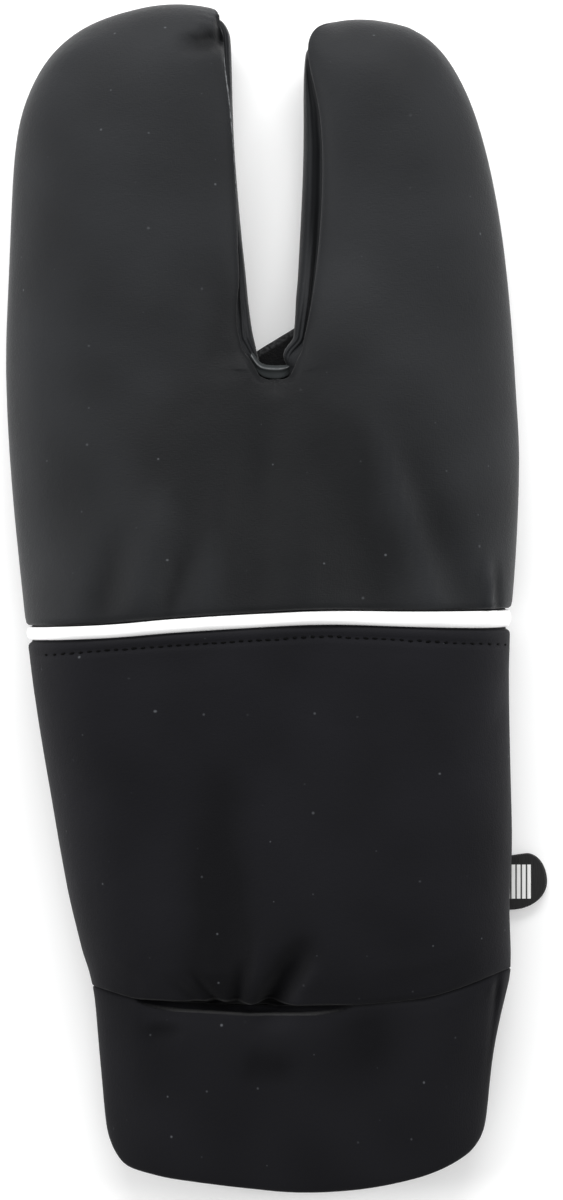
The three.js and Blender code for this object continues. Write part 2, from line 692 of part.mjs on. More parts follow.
// The cuff: a doubled tube of knit from the hem to the seam round the hand.
function cuff() {
  const hem = (x, face) => lookUp(HEM, "x", x).y + (face === "palm" ? 0.8 : 0);
  const rows = [
    { share: 0, sink: 0.7 },
    { share: 0.035, sink: 0 },
    { share: 0.3, sink: 0 },
    { share: 0.6, sink: 0 },
    { share: 0.8, sink: 0 },
    { share: 0.92, sink: 0 },
    { share: 1, sink: 0 },
  ];
  const half = backColumns().filter((column) => column.face !== "palm");
  const below = [...half].reverse().slice(1, -1).filter((column, i) => i % 2 === 0);
  const ring = [...half, ...below.map((column) => ({ ...column, face: "palm" }))];
  ring.push(ring[0]);
  const grid = rows.map(({ share, sink }) =>
    ring.map((column) => {
      const yOf = (x) => lerp(hem(x, column.face), cuffSeam(x) - SEAM_GAP / 2, share);
      const p = crossing(column, yOf);
      const inside = new THREE.Vector2(4, p.y);
      return clothPoint(p.x, p.y, column.face, inside, CUFF_WALL, sink);
    }),
  );
  return solidOf([grid]);
}

const squarer = (v, power) => Math.sign(v) * Math.abs(v) ** power;

// A flat pouch round the thumb's axis, smaller all round by an inset.
function thumbPouch(inset) {
  const around = THUMB_SIDES;
  const across = new THREE.Vector2(THUMB_AXIS.y, -THUMB_AXIS.x);
  const last = THUMB[THUMB.length - 1].along;
  const positions = [];
  const middle = THUMB_HEIGHT / 2;
  for (const { along, half, high } of THUMB) {
    const s = lerp(inset, last - inset, along / last);
    const centre = THUMB_HEEL.clone().addScaledVector(THUMB_AXIS, s);
    for (let i = 0; i < around; i++) {
      const angle = (2 * Math.PI * i) / around;
      const reach = Math.max(half - inset * Math.min(1, half / 9), 0.8);
      const aside = squarer(Math.cos(angle), THUMB_SQUARE.side) * reach;
      const rise = Math.max((middle - inset) * high, 0.4);
      const up = squarer(Math.sin(angle), THUMB_SQUARE.top) * rise;
      positions.push(
        new THREE.Vector3(centre.x + across.x * aside, centre.y + across.y * aside, middle + up),
      );
    }
  }
  const faces = [];
  const rings = THUMB.length;
  for (let r = 1; r < rings; r++) {
    for (let i = 0; i < around; i++) {
      const a = (r - 1) * around + i;
      const b = (r - 1) * around + ((i + 1) % around);
      faces.push([a, b, b + around], [a, b + around, a + around]);
    }
  }
  for (let i = 1; i < around - 1; i++) {
    faces.push([0, i + 1, i]);
    const top = (rings - 1) * around;
    faces.push([top, top + i, top + i + 1]);
  }
  return geometryOf(positions, faces);
}

const CLEAR = 2; // how far a cutter reaches past what it cuts

// The oval through which the thumb passes from the hand into its stall.
function thumbHole(low, high) {
  const shape = new THREE.Shape();
  shape.absellipse(0, 0, THUMB_HOLE.long, THUMB_HOLE.wide, 0, 2 * Math.PI);
  const depth = high - low;
  const prism = new THREE.ExtrudeGeometry(shape, { depth, bevelEnabled: false, curveSegments: 14 });
  const centre = THUMB_HEEL.clone().addScaledVector(THUMB_AXIS, THUMB_HOLE.along);
  prism.rotateZ(THUMB_AXIS.angle());
  prism.translate(centre.x, centre.y, low);
  return closedOf(prism);
}

// A three.js solid with its shared vertices joined, ready to be cut.
function closedOf(geometry) {
  const plain = geometry.index ? geometry.toNonIndexed() : geometry;
  const source = plain.getAttribute("position");
  const index = new Map();
  const positions = [];
  const ids = [];
  for (let i = 0; i < source.count; i++) {
    const v = new THREE.Vector3().fromBufferAttribute(source, i);
    const key = v.toArray().map((n) => Math.round(n * 1000)).join();
    if (!index.has(key)) {
      index.set(key, positions.length);
      positions.push(v);
    }
    ids.push(index.get(key));
  }
  const faces = [];
  for (let i = 0; i < ids.length; i += 3) faces.push(ids.slice(i, i + 3));
  return geometryOf(positions, faces);
}

// The slab between two heights, larger than the stall across.
function slab(low, high) {
  const box = new THREE.BoxGeometry(300, 300, high - low);
  box.translate(0, 0, (low + high) / 2);
  return manifoldOf(closedOf(box));
}

function thumbHalves() {
  const skin = manifoldOf(thumbPouch(0)).subtract(manifoldOf(thumbPouch(THUMB_WALL)));
  const seam = THUMB_HEIGHT / 2;
  const lower = skin.intersect(slab(-CLEAR, seam - SEAM_GAP / 2));
  const upper = skin.intersect(slab(seam + SEAM_GAP / 2, THUMB_HEIGHT + CLEAR));
  return {
    lower: geometryFrom(lower),
    upper: geometryFrom(upper.subtract(manifoldOf(thumbHole(seam, THUMB_HEIGHT + CLEAR)))),
  };
}

function palm() {
  const sheet = manifoldOf(solidOf([palmHalf("left"), palmHalf("right")]));
  return geometryFrom(sheet.subtract(manifoldOf(thumbHole(-CLEAR, 3 * THUMB_HEIGHT))));
}

function sideTab() {
  const shape = new THREE.Shape();
  const { root, straight, reach, middleY, half, low, thick } = TAB;
  shape.moveTo(root, middleY - half);
  shape.lineTo(straight, middleY - half);
  shape.absellipse(straight, middleY, reach - straight, half, -Math.PI / 2, Math.PI / 2);
  shape.lineTo(root, middleY + half);
  const tab = new THREE.ExtrudeGeometry(shape, { depth: thick, bevelEnabled: false, curveSegments: 12 });
  tab.translate(0, 0, low);
  return tab;
}

const shell = solidOf([shellHalf("left"), shellHalf("right")]);
const thumbStall = thumbHalves();

// Finishes
const SHELL_CLOTH = new THREE.MeshStandardMaterial({ color: 0x2b2c2f, roughness: 0.62, metalness: 0 });
const STRETCH_CLOTH = new THREE.MeshStandardMaterial({ color: 0x1c1c1f, roughness: 0.85, metalness: 0 });
const PALM_CLOTH = new THREE.MeshStandardMaterial({ color: 0x18181a, roughness: 0.92, metalness: 0 });
const CUFF_KNIT = new THREE.MeshStandardMaterial({ color: 0x161618, roughness: 0.9, metalness: 0 });
const REFLECTIVE = new THREE.MeshStandardMaterial({ color: 0xf2f2f2, roughness: 0.4, metalness: 0 });
const LABEL = new THREE.MeshStandardMaterial({ color: 0x1b1b1b, roughness: 0.6, metalness: 0 });

const glove = new THREE.Group();
function addPiece(name, geometry, material) {
  const mesh = new THREE.Mesh(geometry, material);
  mesh.name = name;
  glove.add(mesh);
}
addPiece("back_shell", shell, SHELL_CLOTH);
addPiece("lower_back", lowerBack(), STRETCH_CLOTH);
addPiece("palm_panel", palm(), PALM_CLOTH);
addPiece("slit_gusset", slitGusset(), SHELL_CLOTH);
addPiece("reflective_piping", reflectivePiping(), REFLECTIVE);
addPiece("cuff", cuff(), CUFF_KNIT);
addPiece("thumb_outside", thumbStall.lower, PALM_CLOTH);
addPiece("thumb_inside", thumbStall.upper, PALM_CLOTH);
addPiece("side_tab", sideTab(), LABEL);

export default glove;
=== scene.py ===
# A right-hand windproof cycling glove with two finger pockets, lying palm down on a pale floor.
import math
from collections import namedtuple

import bmesh
import bpy
import numpy as np
from mathutils import Matrix, Vector, noise
from mathutils.bvhtree import BVHTree


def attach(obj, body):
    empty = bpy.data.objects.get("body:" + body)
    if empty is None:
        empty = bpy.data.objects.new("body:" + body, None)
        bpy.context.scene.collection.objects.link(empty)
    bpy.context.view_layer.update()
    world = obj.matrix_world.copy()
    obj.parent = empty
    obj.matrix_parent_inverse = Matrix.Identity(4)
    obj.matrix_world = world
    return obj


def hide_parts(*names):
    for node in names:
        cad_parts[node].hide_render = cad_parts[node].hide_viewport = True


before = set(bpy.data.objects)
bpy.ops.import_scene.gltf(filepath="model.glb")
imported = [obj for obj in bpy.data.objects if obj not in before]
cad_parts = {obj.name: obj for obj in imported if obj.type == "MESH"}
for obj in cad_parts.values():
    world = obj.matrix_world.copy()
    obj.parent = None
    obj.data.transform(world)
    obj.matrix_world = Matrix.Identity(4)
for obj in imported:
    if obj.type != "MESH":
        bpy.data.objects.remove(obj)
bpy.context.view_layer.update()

MM = 0.001


# Camera, floor and light.
# The glove is seen from straight above, as it lies, on a plain pale floor under soft light from
# beyond the fingertips and from both sides, which leaves its sides a little lighter.
PHOTO_WIDTH, PHOTO_HEIGHT = 563, 1200
GLOVE_PIXELS = 1186  # from the fingertips to the hem
GLOVE_LENGTH = 270 * MM
PIXEL = GLOVE_LENGTH / GLOVE_PIXELS
GLOVE_CENTRE_PX, GLOVE_MIDDLE_PX = 278, 597  # the pixel over the origin
WAIST_HEIGHT = 8.5 * MM  # the height of the glove's widest line, which sets its outline
LENS, SENSOR = 135, 36

camera = bpy.data.objects.new("camera", bpy.data.cameras.new("camera"))
camera.data.lens = LENS
camera.data.sensor_width = SENSOR
camera.data.clip_start, camera.data.clip_end = 0.01, 20
camera.location = (
    (PHOTO_WIDTH / 2 - GLOVE_CENTRE_PX) * PIXEL,
    (GLOVE_MIDDLE_PX - PHOTO_HEIGHT / 2) * PIXEL,
    WAIST_HEIGHT + PHOTO_HEIGHT * PIXEL * LENS / SENSOR,
)
bpy.context.scene.collection.objects.link(camera)
bpy.context.scene.camera = camera
bpy.context.scene.view_settings.view_transform = "Standard"


def piece_from(bm, name):
    """A piece in the scene with the finished mesh."""
    mesh = bpy.data.meshes.new(name)
    bm.to_mesh(mesh)
    bm.free()
    piece = bpy.data.objects.new(name, mesh)
    bpy.context.scene.collection.objects.link(piece)
    return piece


bm = bmesh.new()
bmesh.ops.create_grid(bm, x_segments=1, y_segments=1, size=3)
floor = piece_from(bm, "floor")
floor.location.z = -0.1 * MM  # clear of the cloth that lies on it

world = bpy.data.worlds.new("studio")
world.use_nodes = True
world.node_tree.nodes["Background"].inputs["Color"].default_value = (1, 1, 1, 1)
world.node_tree.nodes["Background"].inputs["Strength"].default_value = 0.55
bpy.context.scene.world = world


def soft_light(name, place, size, watts):
    """A soft box that faces the glove, with its place and size in metres."""
    lamp = bpy.data.lights.new(name, "AREA")
    lamp.shape = "RECTANGLE"
    lamp.size, lamp.size_y = size
    lamp.energy = watts
    made = bpy.data.objects.new(name, lamp)
    made.location = place
    made.rotation_euler = (-Vector(place)).to_track_quat("-Z", "Y").to_euler()
    bpy.context.scene.collection.objects.link(made)


soft_light("tips_light", (0.0, 0.44, 0.32), (0.5, 0.2), 2.6)
soft_light("left_light", (-0.9, 0.0, 0.36), (0.3, 1.0), 8)
soft_light("right_light", (0.9, 0.1, 0.38), (0.3, 1.0), 6)


class Value:
    """A number that varies over a surface: arithmetic on it adds Math nodes."""

    def __init__(self, finish, socket):
        self.finish = finish
        self.socket = socket

    def maths(self, operation, *terms):
        inputs = dict(enumerate(terms))
        return self.finish.value("ShaderNodeMath", {"operation": operation}, inputs)

    def __add__(self, other):
        return self.maths("ADD", self, other)

    def __sub__(self, other):
        return self.maths("SUBTRACT", self, other)

    def __rsub__(self, other):
        return self.maths("SUBTRACT", other, self)

    def __mul__(self, other):
        return self.maths("MULTIPLY", self, other)

    def __truediv__(self, other):
        return self.maths("DIVIDE", self, other)

    __radd__ = __add__
    __rmul__ = __mul__

    def over(self, edge, softness):
        """0 below the edge, 1 above it."""
        ramp = {"Value": self, "From Min": edge - softness, "From Max": edge + softness}
        return self.finish.value("ShaderNodeMapRange", {"clamp": True}, ramp)


class Finish:
    """A material and the nodes that make it."""

    def __init__(self, name):
        self.material = bpy.data.materials.new(name)
        self.material.use_nodes = True
        self.tree = self.material.node_tree
        self.tree.nodes.clear()

    def node(self, kind, settings=None, inputs=None):
        made = self.tree.nodes.new(kind)
        for name, setting in (settings or {}).items():
            setattr(made, name, setting)
        for name, given in (inputs or {}).items():
            if isinstance(given, Value):
                self.tree.links.new(given.socket, made.inputs[name])
            elif isinstance(given, bpy.types.NodeSocket):
                self.tree.links.new(given, made.inputs[name])
            else:
                made.inputs[name].default_value = given
        return made

    def value(self, kind, settings=None, inputs=None, output=0):
        return Value(self, self.node(kind, settings, inputs).outputs[output])

    def place(self, kind="UV"):
        """Places on the piece: UV is millimetres along and across the cloth, Object is metres."""
        return self.node("ShaderNodeTexCoord").outputs[kind]

    def noise(self, size, detail=2, kind="UV", drawn=(1, 1, 1)):
        """Noise whose blots are size across, in the units of the place, drawn out along an axis."""
        squeeze = {"Vector": self.place(kind), "Scale": [1 / (size * d) for d in drawn]}
        place = self.node("ShaderNodeMapping", inputs=squeeze).outputs[0]
        inputs = {"Vector": place, "Scale": 1, "Detail": detail}
        return self.value("ShaderNodeTexNoise", {"noise_dimensions": "3D"}, inputs)

    def weave(self, yarn):
        """The relief of an irregular close weave, whose yarns are as wide as given."""
        across = self.noise(yarn, 1, drawn=(4, 1, 1))
        along = self.noise(yarn, 1, drawn=(1, 4, 1))
        return across * 0.5 + along * 0.5

    def mix(self, share, first, second):
        inputs = {0: share, 6: first, 7: second}
        return self.node("ShaderNodeMix", {"data_type": "RGBA"}, inputs).outputs[2]

    def bump(self, height, depth):
        inputs = {"Height": height, "Distance": depth, "Strength": 1}
        return self.node("ShaderNodeBump", inputs=inputs).outputs[0]

    def surface(self, **inputs):
        sockets = {name.replace("_", " "): given for name, given in inputs.items()}
        shader = self.node("ShaderNodeBsdfPrincipled", inputs=sockets)
        self.node("ShaderNodeOutputMaterial", inputs={"Surface": shader.outputs[0]})
        return self.material


floor_finish = Finish("pale_floor")
floor_finish.surface(
    Base_Color=(0.93, 0.93, 0.93, 1),
    Roughness=0.9,
    Emission_Color=(1, 1, 1, 1),
    Emission_Strength=0.12,
)
floor.data.materials.append(floor_finish.material)


# The windproof back, from the piping to the fingertips.
# One panel of softshell: a tight matt face bonded to thin fleece. It wraps round the outer sides
# and the tips, where it is sewn to the palm, and rolls down at the slit to the gusset.
SHELL_DARK = (0.0040, 0.0044, 0.0052, 1)
SHELL_LIGHT = (0.0164, 0.0176, 0.0197, 1)
LINT_COLOUR = (0.085, 0.09, 0.097, 1)
# Lengths from here on are in millimetres, but for patterns on Object places.
LINT_CELL, LINT_RADIUS, LINT_BLUR = 12, 0.3, 0.12
LINT_RARITY, RARITY_BLUR = 0.6, 0.25  # the share of cells with no speck
LINT_STRENGTH = 0.75
BACK_HEIGHT = 20  # the mean height of the back over the floor
WAIST = (9, 15)  # the heights between which the sides turn into the back
TURNS_DOWN_X = (20, 52)  # where the back comes to slope down to its sides
TURNS_DOWN_Y = (95, 130)  # and to its fingertips
SHELL_PUFF = 0.2  # how far a panel swells, which closes its seams up again
MERGE_REACH = 0.004
SHARP_EDGE, CREASE = math.radians(55), 0.35  # an edge that turns by more keeps this crease
# The random tone of the nap, and the painted shade in furrows and painted highlight on ridges that
# is laid into it.
NAP_RIPPLE, PAINTED_SHADE_IN_FURROW = 0.3, 0.3
BESIDE_SLIT, BESIDE_REACH = [(-8.9, 51.5), (8.4, 51.5)], 3.4  # where the coarse mesh pinches
RELAX_TURNS = 12


def cloth_from(node, name, levels, loop_cuts=None):
    """A piece of cloth subdivided from a copy of a CAD node, its cut edges a little rounded.

    loop_cuts tells which edges of the copy, by their two ends, get three cuts.
    """
    bm = bmesh.new()
    bm.from_mesh(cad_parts[node].data)
    bmesh.ops.remove_doubles(bm, verts=bm.verts, dist=MERGE_REACH * MM)
    bmesh.ops.join_triangles(
        bm, faces=bm.faces, angle_face_threshold=1.0, angle_shape_threshold=1.4
    )
    if loop_cuts:
        cut = [e for e in bm.edges if loop_cuts(e.verts[0].co / MM, e.verts[1].co / MM)]
        bmesh.ops.subdivide_edges(bm, edges=cut, cuts=3, use_grid_fill=True)
    creases = bm.edges.layers.float.new("crease_edge")
    for edge in bm.edges:
        if edge.is_manifold and edge.calc_face_angle() > SHARP_EDGE:
            edge[creases] = CREASE
    rough = piece_from(bm, name + "_rough")
    smooth = rough.modifiers.new("smooth", "SUBSURF")
    smooth.levels = smooth.render_levels = levels
    graph = bpy.context.evaluated_depsgraph_get()
    fine = bpy.data.meshes.new_from_object(rough.evaluated_get(graph))
    fine.name = name
    bpy.data.objects.remove(rough)
    piece = bpy.data.objects.new(name, fine)
    bpy.context.scene.collection.objects.link(piece)
    fine.shade_smooth()
    return piece


def points_of(piece):
    flat = np.empty(len(piece.data.vertices) * 3)
    piece.data.vertices.foreach_get("co", flat)
    return flat.reshape(-1, 3) / MM


def puffed(piece, by):
    """The piece's points moved out along its normals, but not into the floor."""
    normals = np.empty(len(piece.data.vertices) * 3)
    piece.data.vertices.foreach_get("normal", normals)
    points = points_of(piece) + by * normals.reshape(-1, 3)
    points[:, 2] = np.maximum(points[:, 2], 0)
    return points


def move_points(piece, points):
    piece.data.vertices.foreach_set("co", (points * MM).ravel())
    piece.data.update()


def relax(piece, places, reach):
    """Smooths the piece within reach of some places in plan."""
    bm = bmesh.new()
    bm.from_mesh(piece.data)
    near = [v for v in bm.verts if any((v.co.xy / MM - Vector(at)).length < reach for at in places)]
    for _ in range(RELAX_TURNS):
        bmesh.ops.smooth_vert(
            bm, verts=near, factor=0.5, use_axis_x=True, use_axis_y=True, use_axis_z=True
        )
    bm.to_mesh(piece.data)
    bm.free()


def smooth_step(value, low, high):
    """0 up to low, 1 from high on, with a soft rise between them."""
    share = np.clip((value - low) / (high - low), 0, 1)
    return share * share * (3 - 2 * share)


def bell(distance, width):
    """1 at no distance, with soft slopes as wide as given."""
    return np.exp(-((distance / width) ** 2))


def lay_map(piece, across, along):
    """A UV map in millimetres of cloth, from two numbers for each point of the piece."""
    layer = piece.data.uv_layers.new(name="cloth")
    corners = np.empty(len(piece.data.loops), dtype=np.int32)
    piece.data.loops.foreach_get("vertex_index", corners)
    layer.data.foreach_set("uv", np.stack([across[corners], along[corners]], 1).ravel())


def lay_cloth_map(piece):
    """The map of a panel: across runs on down the sides, and along down the tips."""
    x, y, z = points_of(piece).T
    down = BACK_HEIGHT - z
    across = x + np.sign(x) * down * smooth_step(np.abs(x), *TURNS_DOWN_X)
    along = y + down * smooth_step(y, *TURNS_DOWN_Y)
    lay_map(piece, across, along)


# A furrow, or a ridge where depth is negative, is deepest at its first end and fades out over
# the last share, tail, of its length. Before its first end it fades in over the share head.
Furrow = namedtuple("Furrow", "x1 y1 x2 y2 width depth tail head", defaults=(0.2,))
FULL_BY = 0.08  # the share of its length by which it is at its deepest


def sunk_by(furrows, x, y):
    """How far the furrows sink the cloth at each x, y."""
    total = np.zeros_like(x)
    for f in furrows:
        run_x, run_y = f.x2 - f.x1, f.y2 - f.y1
        length = math.hypot(run_x, run_y)
        along = ((x - f.x1) * run_x + (y - f.y1) * run_y) / length**2
        aside = ((x - f.x1) * run_y - (y - f.y1) * run_x) / length
        fade = smooth_step(along, -f.head, FULL_BY) * (1 - smooth_step(along, 1 - f.tail, 1))
        total += f.depth * fade * bell(aside, f.width)
    return total


# A pull shifts what lies within its reach of a place in plan, most at the place itself.
Pull = namedtuple("Pull", "x y reach dx dy dz")


def pulled(points, pulls):
    """The points as the pulls leave them."""
    moved = points.copy()
    for p in pulls:
        away = np.hypot(points[:, 0] - p.x, points[:, 1] - p.y) / p.reach
        share = np.clip(1 - away * away, 0, 1) ** 2
        moved += share[:, None] * np.array([p.dx, p.dy, p.dz])
    return moved


def ripple(points, size, height, seed):
    """Soft random waves, as a height at each point."""
    shift = Vector((seed, 2 * seed, 3 * seed))
    values = [noise.noise(Vector(p) / size + shift) for p in points]
    return height * np.array(values)


def on_back(points):
    """1 on the back of the hand, 0 under the waist."""
    return smooth_step(points[:, 2], *WAIST)


def brush_nap_and_paint_light(piece, sunk, strokes=()):
    """Keeps a nap attribute about 0.5: random tone of how the nap lies, with painted highlight on
    ridges, painted shade in furrows, and the strokes' painted shade or highlight.
    """
    points = points_of(piece)
    nap_and_painted_light = 0.5 + ripple(points, 14, NAP_RIPPLE, seed=9) - PAINTED_SHADE_IN_FURROW * sunk
    nap_and_painted_light -= sunk_by(strokes, points[:, 0], points[:, 1]) * on_back(points)
    layer = piece.data.attributes.new("nap", "FLOAT", "POINT")
    layer.data.foreach_set("value", np.clip(nap_and_painted_light, 0, 1))


def linted(finish, tone):
    """The tone with a speck of lint in some cells of cloth."""
    cells = {"Vector": finish.place(), "Scale": 1 / LINT_CELL, "Randomness": 1}
    lint = finish.node("ShaderNodeTexVoronoi", {"voronoi_dimensions": "2D"}, cells)
    cell = finish.node("ShaderNodeSeparateColor", inputs={0: lint.outputs["Color"]})
    size = Value(finish, cell.outputs[1]) * LINT_RADIUS / LINT_CELL
    speck = 1 - (Value(finish, lint.outputs["Distance"]) - size).over(0, LINT_BLUR / LINT_CELL)
    shown = Value(finish, cell.outputs[0]).over(LINT_RARITY, RARITY_BLUR)
    return finish.mix(speck * shown * LINT_STRENGTH, tone, LINT_COLOUR)


# The wrinkles run from the bottom of the slit to the piping, and one tucks in at a fingertip.
HAND_HOLLOW = Furrow(-5.0, 30.0, -6.0, 68.0, 24.0, 2.4, 0.75, 1.0)
SHELL_FURROWS = [
    HAND_HOLLOW,
    Furrow(-30.8, -2.0, -23.5, 31.0, 3.4, -1.0, 0.5),
    Furrow(-15.6, -2.0, -11.2, 38.0, 2.5, -1.0, 0.5),
    Furrow(-4.8, -2.0, -4.4, 47.0, 4.6, 1.1, 0.4),
    Furrow(-39.5, -4.0, -34.5, 20.0, 3.2, 1.0, 0.6),
    Furrow(-24.4, -3.0, -19.0, 15.0, 2.1, 1.0, 0.6),
    Furrow(22.8, -2.0, 8.0, 43.0, 6.4, 1.1, 0.5),
    Furrow(34.8, -1.0, 20.0, 44.0, 2.2, -1.1, 0.4),
    Furrow(42.6, -1.5, 28.0, 38.0, 3.6, 0.8, 0.6),
    Furrow(47.9, -3.5, 47.2, 11.0, 0.8, -1.5, 0.5),
    Furrow(49.6, -3.5, 48.9, 10.0, 0.9, 0.9, 0.5),
    Furrow(7.8, -2.0, 2.4, 46.0, 2.8, -0.5, 0.6),
    Furrow(-11.0, 53.0, -16.0, 82.0, 5.0, 1.3, 0.8),
    Furrow(-12.6, 126.2, -24.5, 123.8, 2.2, 2.4, 0.8),
    Furrow(-13.7, 131.0, -13.0, 123.5, 0.6, 1.2, 0.4, 0.3),
    Furrow(-50.0, 122.0, -28.0, 130.0, 3.0, -0.6, 0.6),
]
# Strokes are painted shade laid into the nap attribute alone, or painted highlight where the depth
# is negative, with the depth as its share. The shell's are all shade: over the hand, beside and
# below the slit and in the index fingertip's crease.
SHELL_PAINTED_SHADE = [
    Furrow(-5.0, 0.0, -5.0, 46.0, 34.0, 0.32, 0.5, 0.3),
    Furrow(-5.0, 48.6, 4.0, 48.2, 3.0, 0.9, 0.1),
    Furrow(-6.2, 49.0, -5.8, 36.0, 2.6, 0.4, 0.6),
    Furrow(-9.6, 57.0, -13.0, 82.0, 4.0, 0.3, 0.6),
    Furrow(4.6, 57.0, 8.6, 70.0, 2.4, 0.3, 0.6),
    Furrow(-13.9, 133.5, -12.9, 123.0, 0.9, 0.5, 0.2),
]
SHELL_PULLS = [
    Pull(-3.2, 51.1, 3.6, 0.0, -1.9, 0.0),
    Pull(2.1, 51.0, 3.6, 0.0, -1.9, 0.0),
    Pull(-0.6, 50.4, 3.0, 0.0, -0.9, 0.0),
    Pull(-7.6, 62.0, 11.0, -1.4, 0.0, 0.0),
    Pull(-7.4, 57.5, 5.5, -0.4, 0.0, 0.0),
    Pull(-5.2, 54.6, 4.6, -1.1, 0.0, 0.0),
    Pull(3.7, 54.8, 4.4, 0.8, 0.0, 0.0),
    Pull(-12.2, 131.0, 5.0, -1.3, 0.0, 0.0),
]
TIGHT_FOLDS, TIGHT_REACH = [(-13, 128), (-1, 52)], 8  # at the index fingertip and the slit
TIGHT_OVER, TIGHT_LENGTH = 10, 1.2  # for edges higher and longer than these


def at_tight_folds(a, b):
    """Edges at the index fingertip's fold and round the bottom of the slit."""
    middle = (a + b) / 2
    near = any(math.hypot(middle.x - x, middle.y - y) < TIGHT_REACH for x, y in TIGHT_FOLDS)
    return near and middle.z > TIGHT_OVER and (a - b).length > TIGHT_LENGTH


back_shell = cloth_from("back_shell", "windproof_back", 2, loop_cuts=at_tight_folds)
relax(back_shell, BESIDE_SLIT, BESIDE_REACH)
points = pulled(puffed(back_shell, SHELL_PUFF), SHELL_PULLS)
sunk = sunk_by(SHELL_FURROWS, points[:, 0], points[:, 1])
height = ripple(points, 22, 0.55, seed=1) + ripple(points, 9, 0.14, seed=5) - sunk
points[:, 2] += height * on_back(points)
move_points(back_shell, points)
lay_cloth_map(back_shell)
brush_nap_and_paint_light(back_shell, sunk, SHELL_PAINTED_SHADE)

shell = Finish("windproof_softshell")
fuzz = shell.noise(0.5, 2)
# The nap attribute mixes random tone with painted shade and painted highlight from the furrows,
# ridges and strokes.
nap = shell.value("ShaderNodeAttribute", {"attribute_name": "nap"}, output="Fac")
tone = linted(shell, shell.mix(nap, SHELL_DARK, SHELL_LIGHT))
relief = shell.weave(0.28) + fuzz * 0.5 + shell.noise(3.5, 2) * 0.8
back_shell.data.materials.append(
    shell.surface(
        Base_Color=tone,
        Roughness=fuzz * 0.12 + 0.55,
        Sheen_Weight=0.12,
        Sheen_Roughness=0.4,
        Specular_IOR_Level=0.16,
        Normal=shell.bump(relief, 0.1 * MM),
    )
)
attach(back_shell, "root")
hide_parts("back_shell")


# The lower back, from the cuff to the piping.
# A softer and darker stretch cloth, so that the wrist bends. It is cut wider than the cuff and
# gathered into the cuff's seam, where it puckers, and sewn under the piping at its other end.
LOWER_DARK = (0.0034, 0.0034, 0.0044, 1)
LOWER_LIGHT = (0.0086, 0.0086, 0.0110, 1)
CUFF_SEAM_X = (-43, -31, -6, 15, 33, 42, 53)
CUFF_SEAM_Y = (-88.3, -91.2, -93.0, -92.4, -90.8, -88.0, -84.4)
TOPSTITCH_X = (-53.1, -26.4, -6.1, 10.2, 26.6, 43.0, 51.9)
TOPSTITCH_Y = (-13.1, -11.1, -9.8, -8.8, -9.6, -10.5, -10.7)
CREASE_MIDDLE, CREASE_HALF = -7.8, 23.8  # the deep crease over the cuff, along x
CREASE_DEPTH = 6.8
CREASE_SLOPE = 0.1  # how long its side is at least
SEAM_GROOVE, SEAM_GROOVE_WIDTH = 0.5, 0.7
STITCH_GROOVE, STITCH_GROOVE_WIDTH = 0.5, 0.6
# These lie by how far they are up from the cuff's seam.
BILLOW, BILLOW_AT, BILLOW_WIDTH = 0.9, 4.5, 3.5  # the cloth swells up over the crease
OVERHANG, OVERHANG_AT, OVERHANG_WIDTH = 0.7, 1.6, 1.3  # and hangs over it
OVERHANG_IN_FURROW = 0.4  # but less so where a furrow runs into it
# Which edges of the coarse mesh are cut: those along the glove that are longer than this, above
# this y or within this reach of the seam.
LONG_BY_PIPING, PIPING_FROM_Y = 5, -17
LONG_BY_SEAM, SEAM_REACH = 1.5, 6
LOWER_FURROWS = [
    Furrow(-12.8, -92.0, -12.8, -30.0, 6.0, 1.7, 0.8),
    Furrow(-2.6, -92.5, 8.6, -75.0, 2.9, 3.4, 0.6),
    Furrow(-9.2, -92.0, -7.6, -81.0, 1.5, 1.7, 0.7),
    Furrow(-13.9, -91.8, -21.5, -82.5, 1.1, 1.2, 0.7),
    Furrow(-18.0, -91.6, -26.0, -84.5, 1.2, 0.6, 0.7),
    Furrow(-5.4, -91.5, -3.6, -74.0, 1.5, -0.9, 0.7),
    Furrow(-15.5, -90.0, -17.5, -78.0, 1.6, -0.5, 0.7),
    Furrow(4.0, -91.0, 12.0, -79.0, 2.4, -0.6, 0.7),
    Furrow(51.5, -27.0, 44.0, -34.0, 1.6, 0.5, 0.8),
    Furrow(50.0, -22.0, 42.0, -30.0, 3.0, -0.6, 0.8),
]
# Painted shade along the broad furrow and the gathers over the cuff, laid into the nap attribute.
LOWER_PAINTED_SHADE = [
    Furrow(-12.6, -92.0, -13.4, -24.0, 8.4, 0.35, 0.3),
    Furrow(-8.6, -92.0, -8.6, -70.0, 3.0, 0.25, 0.6),
    Furrow(-2.0, -92.0, 9.5, -73.0, 3.2, 0.45, 0.5),
]


def crease_share(x):
    """How much of the deep crease there is at x: a lens, pointed at both ends."""
    return np.sqrt(np.clip(1 - ((x - CREASE_MIDDLE) / CREASE_HALF) ** 2, 0, 1))


def over_seam(points):
    """Distance up from the cuff's seam."""
    return points[:, 1] - np.interp(points[:, 0], CUFF_SEAM_X, CUFF_SEAM_Y)


def crease_dip(points, side, deepest_to, up_by):
    """How far the cloth sinks to the cuff's seam, above it where side is 1, below it where -1.

    In the crease it stays deepest as far as deepest_to from the seam, and is level again at
    up_by, both less towards the crease's ends.
    """
    over = side * over_seam(points)
    lens = crease_share(points[:, 0])
    groove = SEAM_GROOVE * bell(over, SEAM_GROOVE_WIDTH)
    rise = smooth_step(over, deepest_to * lens, up_by * lens + CREASE_SLOPE)
    return groove + CREASE_DEPTH * lens * (1 - rise)


def over_stitches(points):
    """Distance up from the row of topstitches."""
    return points[:, 1] - np.interp(points[:, 0], TOPSTITCH_X, TOPSTITCH_Y)


